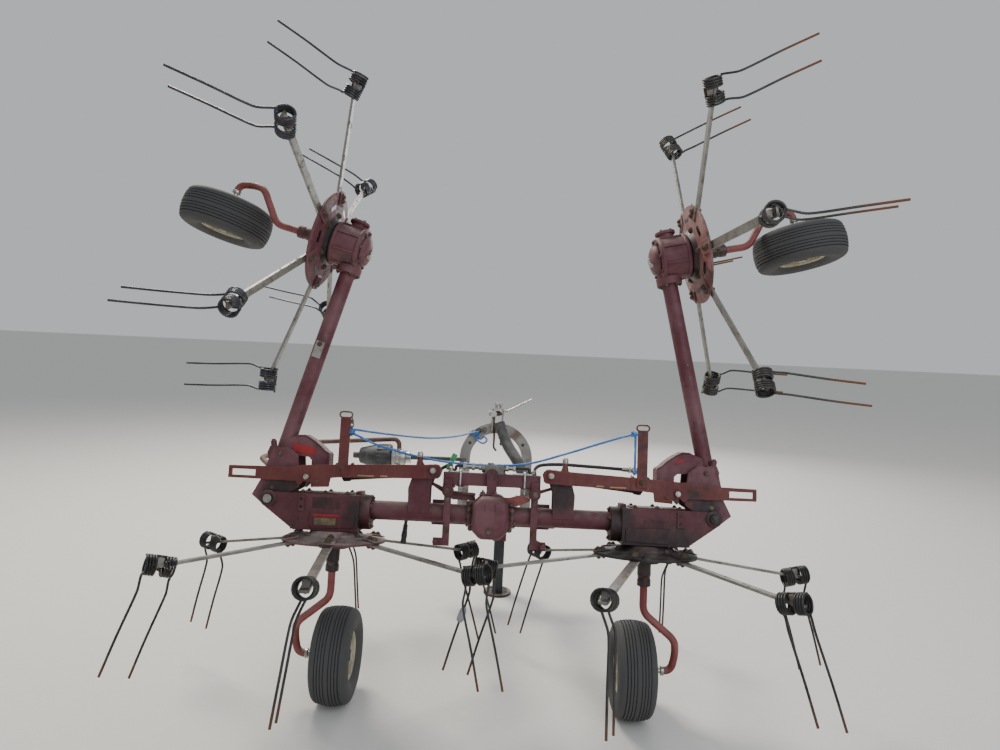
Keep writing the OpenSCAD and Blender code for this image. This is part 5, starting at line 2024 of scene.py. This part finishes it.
@dataclass
class Headstock:
    """Arch, ears with the top link's pin, hooks and couplers, and the lower hitch pins."""

    shop: Workshop
    half: float = 341.5
    hitch_y: float = 1130.0
    hitch_z: float = -120.0

    def make_pins(self) -> None:
        """Top pin with its roller and bent handle, lower pins with shoulders and linch pins."""
        y, z = STANCE.top_y, STANCE.top_z
        pin = Form("top_link_pin", MIDDLE)
        pin.rod((-44, y, z), (36, y, z), 9.4)
        pin.turned([(9.4, -15), (12, -15), (14.5, -8), (15, 0), (14.5, 8), (12, 15), (9.4, 15)],
                   (0, y, z), (1, 0, 0), 32)
        pin.rod((-49, y, z), (-44, y, z), 15)
        pin.rod((-24, y - 46, z - 4), (-24, y - 30.3, z - 4), 19)
        for x in (-9, 15):
            pin.turned([(0, 0), (8, 0), (8, 20), (10.5, 24), (10.5, 32), (7, 38), (0, 38)],
                       (x, y - 12, z + 25), (0, 0, 1), 24)
        pin.block((-22.6, y - 26, z + 14), (22.6, y + 6, z + 26))
        pin.hand_over(ZINC, "frame", "worn_steel", bevel=0.6)
        rod = Form("pin_handle", MIDDLE)
        rod.bar(bend([(33.3, y, z + 18), (56, y, z + 18), (190, y, z + 90)], 14, 6), 6, 16)
        rod.hand_over(ZINC, "frame", "worn_steel", ["top_rod"])
        low = Form("lower_pin_collars", MIDDLE)
        for s in (-1, 1):
            x = s * self.half
            low.turned([(11, 0), (24, 0), (26, 3), (26, 9), (24, 12), (11, 12)],
                       (x, self.hitch_y, self.hitch_z), (s, 0, 0), 36)
        low.hand_over(BRIGHT_STEEL, "frame", "worn_steel")
        linch = Form("linch_pins", MIDDLE)
        for s in (-1, 1):
            x, zz = s * (self.half + 50), self.hitch_z
            linch.rod((x, self.hitch_y, zz - 24), (x, self.hitch_y, zz + 22), 4.0, 14)
            ring = [(x, self.hitch_y + a, zz + 22 + b) for a, b in around(17, 24)]
            linch.bar(ring, 1.8, 8, closed=True)
        linch.hand_over(ZINC, "frame", "worn_steel")

    def make_hooks(self) -> None:
        """Rusty hook rod in the ears, and the couplers parked on the arch."""
        y = STANCE.top_y
        hook = Form("hanging_hook", MIDDLE)
        hook.bar(bend([(-10, y - 18, 478), (-20, y - 20, 440), (-14, y - 18, 340), (-16, y - 16, 276),
                       (2, y - 16, 262)], 16, 6), 6, 12)
        hook.rod((-26, y - 18, 470), (22, y - 18, 470), 6, 16)
        hook.hand_over(RUSTY_STEEL, "frame", "worn_steel")
        points = [((-152 + 17 * k, y - 6, 350 + 9 * k - k * k * 0.8), (0, 0, 1), 1.0) for k in range(6)]
        mesh = self.shop.links.grow("arch_chain", seed_points(points), MIDDLE, RUSTY_STEEL,
                                    Link_radius=9.0, Wire_radius=2.6)
        put("arch_chain", mesh, RUSTY_STEEL, "frame", angle=60.0)
        parked = Form("parked_couplers", MIDDLE)
        parked.turned([(0, 0), (11, 0), (13, 4), (10, 8), (13, 12), (10, 16), (13, 20), (10, 24), (13, 28),
                       (13, 38), (9, 42), (0, 42)], (30, 1096, 334), (0, 0, -1), 24)
        parked.rod((30, 1096, 332), (30, 1104, 366), 5, 14)
        parked.hand_over(GUARD_PLASTIC, "frame", "guard_plastic")
        plug = Form("parked_plug", MIDDLE)
        plug.turned([(0, 0), (9, 0), (10, 3), (10, 34), (13, 38), (13, 54), (10, 58), (10, 92), (0, 92)],
                    (68, 1092, 338), (2, -2, -50), 26)
        plug.rod((66, 1098, 336), (62, 1112, 372), 4, 12)
        plug.hand_over(CASTING, "frame", "worn_steel", bevel=0.5)

    def make(self) -> None:
        """The whole headstock."""
        repaint(SILVER_PAINT, "arch", "top_ears")
        self.make_pins()
        self.make_hooks()
        y = STANCE.top_y
        heads = [((s * 180, y + 10, z), (0, -1, 0), 9.0) for s in (-1, 1) for z in (-60, -10)]
        heads += [((s * 150, y + 10, 300), (0, -1, 0), 7.0) for s in (-1, 1)]
        self.shop.bolted("arch_bolts", MIDDLE, "frame", heads, RUSTY_STEEL, "worn_steel")
        self.shop.welded("ear_welds", MIDDLE, "frame", [
            [(s * 34.5, y + 9.5, 422), (s * 34.5, y + 9.5, 380)] for s in (-1, 1)], SILVER_PAINT, 3.0)


@dataclass
class StowedShaft:
    """Drive shaft stowed on the frame: ribbed bell, joint, collar, and its long guard tube."""

    y: float = 840.0
    z: float = 206.0
    bell_x: float = -545.0

    def make_bell(self) -> None:
        """Corrugated bell with the joint's silver casting and bright collar."""
        bell = Form("shaft_bell", MIDDLE)
        profile = [(0, 0), (61, 0), (64, 3), (64, 12), (62, 16), (61, 52), (59.5, 56), (58, 92), (56, 96),
                   (52, 120), (50, 123), (46, 140), (44.5, 143), (42, 158), (36, 165), (0, 165)]
        bell.turned(profile, (self.bell_x, self.y, self.z), (-1, 0, 0), 56)
        for k in range(20):
            a = math.radians(18 * k)
            low = Vector((-552, self.y + 61 * math.cos(a), self.z + 61 * math.sin(a)))
            bell.rod(low, low + Vector((-64, -1.5 * math.cos(a), -1.5 * math.sin(a))), 3.4, 8)
        bell.rod((-745, self.y, self.z), (-705, self.y, self.z), 16)
        end = self.y + 280 - 0.3
        path = bend([(-440, self.y, self.z), (-360, self.y + 10, self.z), (-175, 1050, self.z),
                     (-175, end, self.z)], 24, 8)
        bell.bar(path, 11, 16)
        bell.hand_over(GUARD_PLASTIC, "frame", "guard_plastic", ["shaft_yoke"], bevel=0.6)
        joint = Form("shaft_joint", MIDDLE)
        x = self.bell_x
        joint.turned([(0, 0), (38, 0), (43, 6), (43, 20), (36, 26), (36, 44), (43, 50), (43, 68), (39, 75),
                      (0, 75)], (x, self.y, self.z), (1, 0, 0), 40)
        for a in (0, 90, 180, 270):
            t = math.radians(a)
            at = Vector((x + 36, self.y + 34 * math.cos(t), self.z + 34 * math.sin(t)))
            joint.rod(at, at + Vector((0, 9.4 * math.cos(t), 9.4 * math.sin(t))), 11, 20)
        joint.hand_over(CASTING, "frame", "worn_steel", bevel=1.0)
        collar = Form("shaft_collar", MIDDLE)
        collar.turned([(0, 0), (30, 0), (33, 3), (33, 12), (29, 15), (29, 19), (33, 22), (33, 28),
                       (30, 30.5), (0, 30.5)], (x + 75, self.y, self.z), (1, 0, 0), 40)
        collar.hand_over(CHROME, "frame", "chrome_rod", bevel=0.5)

    def make_guard(self) -> None:
        """Long plastic guard tube with its ribbed cones at both ends."""
        path = through([(14, 1050.6, 410), (60, 1000, 300), (130, 930, 190), (181, 876, 45)], 10)
        n, radii = len(path), []
        for i in range(n):
            t = i / (n - 1)
            rib = 1.2 * math.cos(i * math.pi) if t < 0.3 or t > 0.75 else 0.0
            radii.append(30.5 + rib)
        Form("shaft_guard_tube", MIDDLE).bar(path, 32, 28, radii=radii).hand_over(
            GUARD_PLASTIC, "frame", "guard_plastic", ["shaft_guard"], angle=50.0)
        hoop = bend([(-840, 75.3, 20), (-840, 118, 20), (-870, 150, 60), (-970, 190, 150), (-1060, 340, 180),
                     (-1050, 640, 215), (-960, 820, 262), (-507, 840, 300), (-507, 840, 249.3)], 40, 8)
        Form("guard_hoop_bar", MIDDLE).bar(hoop, 12, 18).hand_over(
            HOOP_BROWN, "frame", "maroon_paint", ["guard_hoop"], angle=60.0)

    def make(self) -> None:
        """Bell, joint, guard tube and the hoop that ends on the joint."""
        self.make_bell()
        self.make_guard()


@dataclass
class Stand:
    """Square parking leg with its locking pin and round foot."""

    x: float = 42.0
    y: float = 1215.0
    pin_z: float = 405.6

    def make(self) -> None:
        """Pin with ring handle, and a turned rim on the foot."""
        repaint(STAND_GRAY, "stand_leg")
        foot = Form("stand_foot_rim", GROUND)
        foot.turned([(60, 10), (76, 10), (79, 8), (79, 3), (79.5, 10.5), (78, 13), (60, 13)],
                    (self.x, self.y, 0), sides=48)
        foot.hand_over(RUSTY_STEEL, "stand", "stand_paint", bevel=0.8)
        pin = Form("stand_lock_pin", GROUND)
        pin.rod((self.x - 62, self.y, self.pin_z), (self.x + 58, self.y, self.pin_z), 8.4)
        ring = [(self.x - 66, self.y + a, self.pin_z + b - 14) for a, b in around(15, 24)]
        pin.bar(ring, 2.2, 8, closed=True)
        pin.hand_over(ZINC, "frame", "worn_steel", bevel=0.5)


# The folded wings


@dataclass
class Wing:
    """Boom with its fold bracket and stop sector, outer gearbox and fold cylinder."""

    side: Side
    shop: Workshop
    boom_z: float = 7.0
    boom_ends: tuple[float, float] = (-1070.0, -1844.0)
    sector_r: float = 283.0
    cyl_pivot: tuple[float, float] = (-234.0, 170.0)
    cyl_drop: float = 5.357
    cyl_len: float = 502.3

    @property
    def body(self) -> str:
        """The CAD body of this wing."""
        return f"wing_{self.side.value}"

    def make_bracket(self) -> None:
        """Sector rims, red patch, base boss and the fold pin's ends, in the folded place; the right red
        patch is a painted highlight where the sun glints.
        """
        name, place, hx, hz = self.side.value, self.side.still(), -STANCE.hinge_x, STANCE.hinge_z
        rims = Form(f"sector_rims_{name}", place)
        r = self.sector_r - 3
        arc = [(217, 186), *around(r, 120, 44)[:8], (88, 252)]
        for y in (-35.5, 35.5):
            rims.bar([(hx + a, y, hz + b) for a, b in arc], 3.6, 10)
        rims.block((hx + 208, -37, hz + 120), (hx + 221, -33, hz + 184))
        rims.block((hx + 208, 33, hz + 120), (hx + 221, 37, hz + 184))
        rims.hand_over(MAROON, self.body, bevel=0.8)
        patch = Form(f"red_patch_{name}", place)
        if self.side is Side.LEFT:
            patch.plate([(-811, 256), (-716, 238), (-722, 206), (-808, 218)], -35.0, -34.1)
        else:
            # painted highlight: the small right patch stands for a sun glint on the bracket
            patch.plate([(-775, 254), (-732, 236), (-736, 250), (-758, 262)][::-1], -35.0, -34.1)
        patch.hand_over(FRESH_RED, self.body)
        boss = Form(f"base_boss_{name}", place)
        boss.plate([(hx - 16, hz + 150), (hx + 26, hz + 176), (hx + 22, hz + 206), (hx - 14, hz + 206),
                    (hx - 24, hz + 180)], -58, -30)
        boss.rod((hx - 2, -44, hz + 200), (hx - 6, -44, hz + 228), 12)
        boss.rod((hx - 6, -44, hz + 226), (hx - 7, -44, hz + 234), 8)
        boss.hand_over(MAROON, self.body, bevel=1.2)
        pins = [((hx, s * 87, hz), (0, s, 0), 13.0) for s in (-1, 1)]
        self.shop.bolted(f"fold_pin_nuts_{name}", place, self.body, pins,
                         BRIGHT_STEEL if self.side is Side.LEFT else GREASY_NUT, "worn_steel")
        heads = [((hx + a, -59.2, hz + b), (0, -1, 0), 8.0) for a, b in ((30, 175), (82, 122), (8, 40))]
        self.shop.bolted(f"bracket_bolts_{name}", place, self.body, heads)

    def make_boom(self) -> None:
        """Weld rings, flange bolts, and the small plate or the dark discs of painted shade in the holes on
        the tube's rear face.
        """
        name, place = self.side.value, self.side.wing()
        start, stop = self.boom_ends
        self.shop.welded(f"boom_welds_{name}", place, self.body, [
            [(start - 1, y, z + self.boom_z) for y, z in around(33, 24)],
            [(stop + 1, y, z + self.boom_z) for y, z in around(33, 24)]], CHALKED, 3.2)
        heads = [((stop + 0.2, y, z + self.boom_z), (1, 0, 0), 7.5) for y, z in around(43, 6, 30)]
        self.shop.bolted(f"boom_flange_bolts_{name}", place, self.body, heads)
        if self.side is Side.LEFT:
            tag = Form("boom_plate", place)
            tag.loft([(-34.5, [(-1538, -9), (-1468, -9), (-1468, 21), (-1538, 21)]),
                      (-29, [(-1538, -13), (-1468, -13), (-1468, 25), (-1538, 25)])])
            tag.hand_over(SILVER_PAINT, self.body, "worn_steel", bevel=0.8)
            self.shop.bolted("boom_plate_bolt", place, self.body, [((-1526, -34.4, 6), (0, -1, 0), 8.0)])
        else:
            # painted shade: thin near-black discs stand for the shade inside two holes in the boom
            hole_shade = Form("boom_hole_shade", place)
            for x in (-1448, -1500):
                hole_shade.rod((x, -31.4, 7), (x, -32.8, 7), 5.5, 18, 0.2)
            hole_shade.hand_over(HOLE_SHADE, self.body)

    def make_gearbox(self) -> None:
        """Domed cover, bolted rings, ribs and end cover of the outer gearbox."""
        name, place, x = self.side.value, self.side.wing(), -STANCE.outer_x
        case = Form(f"outer_cover_{name}", place)
        case.turned([(0, 38), (64, 38), (66, 42), (63, 52), (54, 61), (40, 67), (20, 70), (0, 71)],
                    (x, 0, 0), sides=56)
        case.turned([(80, 22), (94, 22), (96, 25), (96, 33), (94, 36), (89, 39.5), (70, 39.5)],
                    (x, 0, 0), sides=56)
        case.turned([(80, -84), (92, -84), (94, -81), (94, -72), (90, -68), (80, -68)], (x, 0, 0), sides=56)
        case.turned([(34.2, 0), (40, 0), (42, 3), (42, 12), (40, 15), (0, 15), (0, 9), (34.2, 9)],
                    (x - 103, 0, -14), (-1, 0, 0), 40)
        for k in range(8):
            a = math.radians(45 * k + 22.5)
            u = Vector((math.cos(a), math.sin(a), 0))
            v = Vector((-u.y, u.x, 0))
            base = Vector((x, 0, 0))
            case.add([base + u * r + v * s * 4 + Vector((0, 0, z)) for z in (-70, 24) for r, s in
                      ((84, -1), (95, -1), (95, 1), (84, 1))],
                     [(3, 2, 1, 0), (4, 5, 6, 7), (0, 1, 5, 4), (1, 2, 6, 5), (2, 3, 7, 6), (3, 0, 4, 7)])
        case.hand_over(CHALKED, self.body, bevel=1.4)
        heads = [((x + a, b, 39.6), (0, 0, 1), 7.5) for a, b in around(80, 8)]
        heads += [((x - 118, a, b - 14), (-1, 0, 0), 6.5) for a, b in around(28, 4, 45)]
        self.shop.bolted(f"outer_cover_bolts_{name}", place, self.body, heads)
        plug = Form(f"outer_filler_{name}", place)
        plug.hexagon((x + 20, -26, 66), (x + 20, -26, 80), 11).rod((x, 0, 70), (x, 0, 76), 16)
        plug.hand_over(BRIGHT_STEEL, self.body, "worn_steel", bevel=0.6)

    def make_cylinder(self) -> None:
        """Gland, wiper and port fittings of the fold cylinder."""
        name = self.side.value
        pivot = Matrix.Translation((self.cyl_pivot[0], 0.0, self.cyl_pivot[1]))
        place = self.side.still().moved(pivot @ rotated(-self.cyl_drop, "Y"))
        n = -self.cyl_len
        repaint(BARREL_BLACK, f"barrel_{name}")
        repaint(CHROME, f"rod_{name}")
        gland = Form(f"cylinder_gland_{name}", place)
        gland.turned([(24.2, 0), (27.4, 0), (28.4, 2), (28.4, 20), (27.4, 22), (24.2, 22)],
                     (n + 132, 0, 0), (1, 0, 0), 40)
        gland.turned([(12.2, 0), (18, 0), (20, 4), (24, 6), (12.2, 6)], (n + 124, 0, 0), (1, 0, 0), 32)
        for x in (-52, n + 178):
            gland.rod((x, 0, 22), (x, 0, 27), 11, 20)
        gland.hand_over(BARREL_BLACK, f"cylinder_{name}", "barrel_paint", bevel=0.8)
        ports = Form(f"cylinder_ports_{name}", place)
        for x in (-52, n + 178):
            ports.hexagon((x, 0, 27), (x, 0, 33), 10)
            ports.rod((x, 0, 32), (x, 0, 36), 7, 16)
        ports.hand_over(ZINC, f"cylinder_{name}", "worn_steel", bevel=0.5)

    def make(self) -> None:
        """The whole wing."""
        repaint(BOOM_RED, f"boom_{self.side.value}")
        repaint(CHALKED, f"gearbox_{self.side.value}")
        self.make_bracket()
        self.make_boom()
        self.make_gearbox()
        self.make_cylinder()


# Assembly


def main() -> None:
    """Builds the camera and cords first, then every sub-assembly."""
    logging.basicConfig(level=logging.INFO, format="%(name)s %(message)s")
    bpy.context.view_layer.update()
    Viewpoint().make()
    Studio().make()
    Cords().make()
    shop = Workshop()
    CentralGearbox(shop).make()
    MainTube(shop).make()
    Headstock(shop).make()
    StowedShaft().make()
    Stand().make()
    rotors = (
        (Side.LEFT, False, 36.0, -1, DUSTY_DISC), (Side.RIGHT, False, 52.0, -1, OILY_DISC),
        (Side.LEFT, True, 10.0, 1, CHALKED), (Side.RIGHT, True, 35.0, 1, PINK_DISC))
    for side, outer, phase, trail, disc in rotors:
        Rotor(side, outer, phase, trail, disc, shop).make()
        Wheel(side, outer, shop).make()
    for side in SIDES:
        Housing(side, shop).make()
        TransportLink(side, shop).make()
        Wing(side, shop).make()


if __name__ == "__main__":
    main()
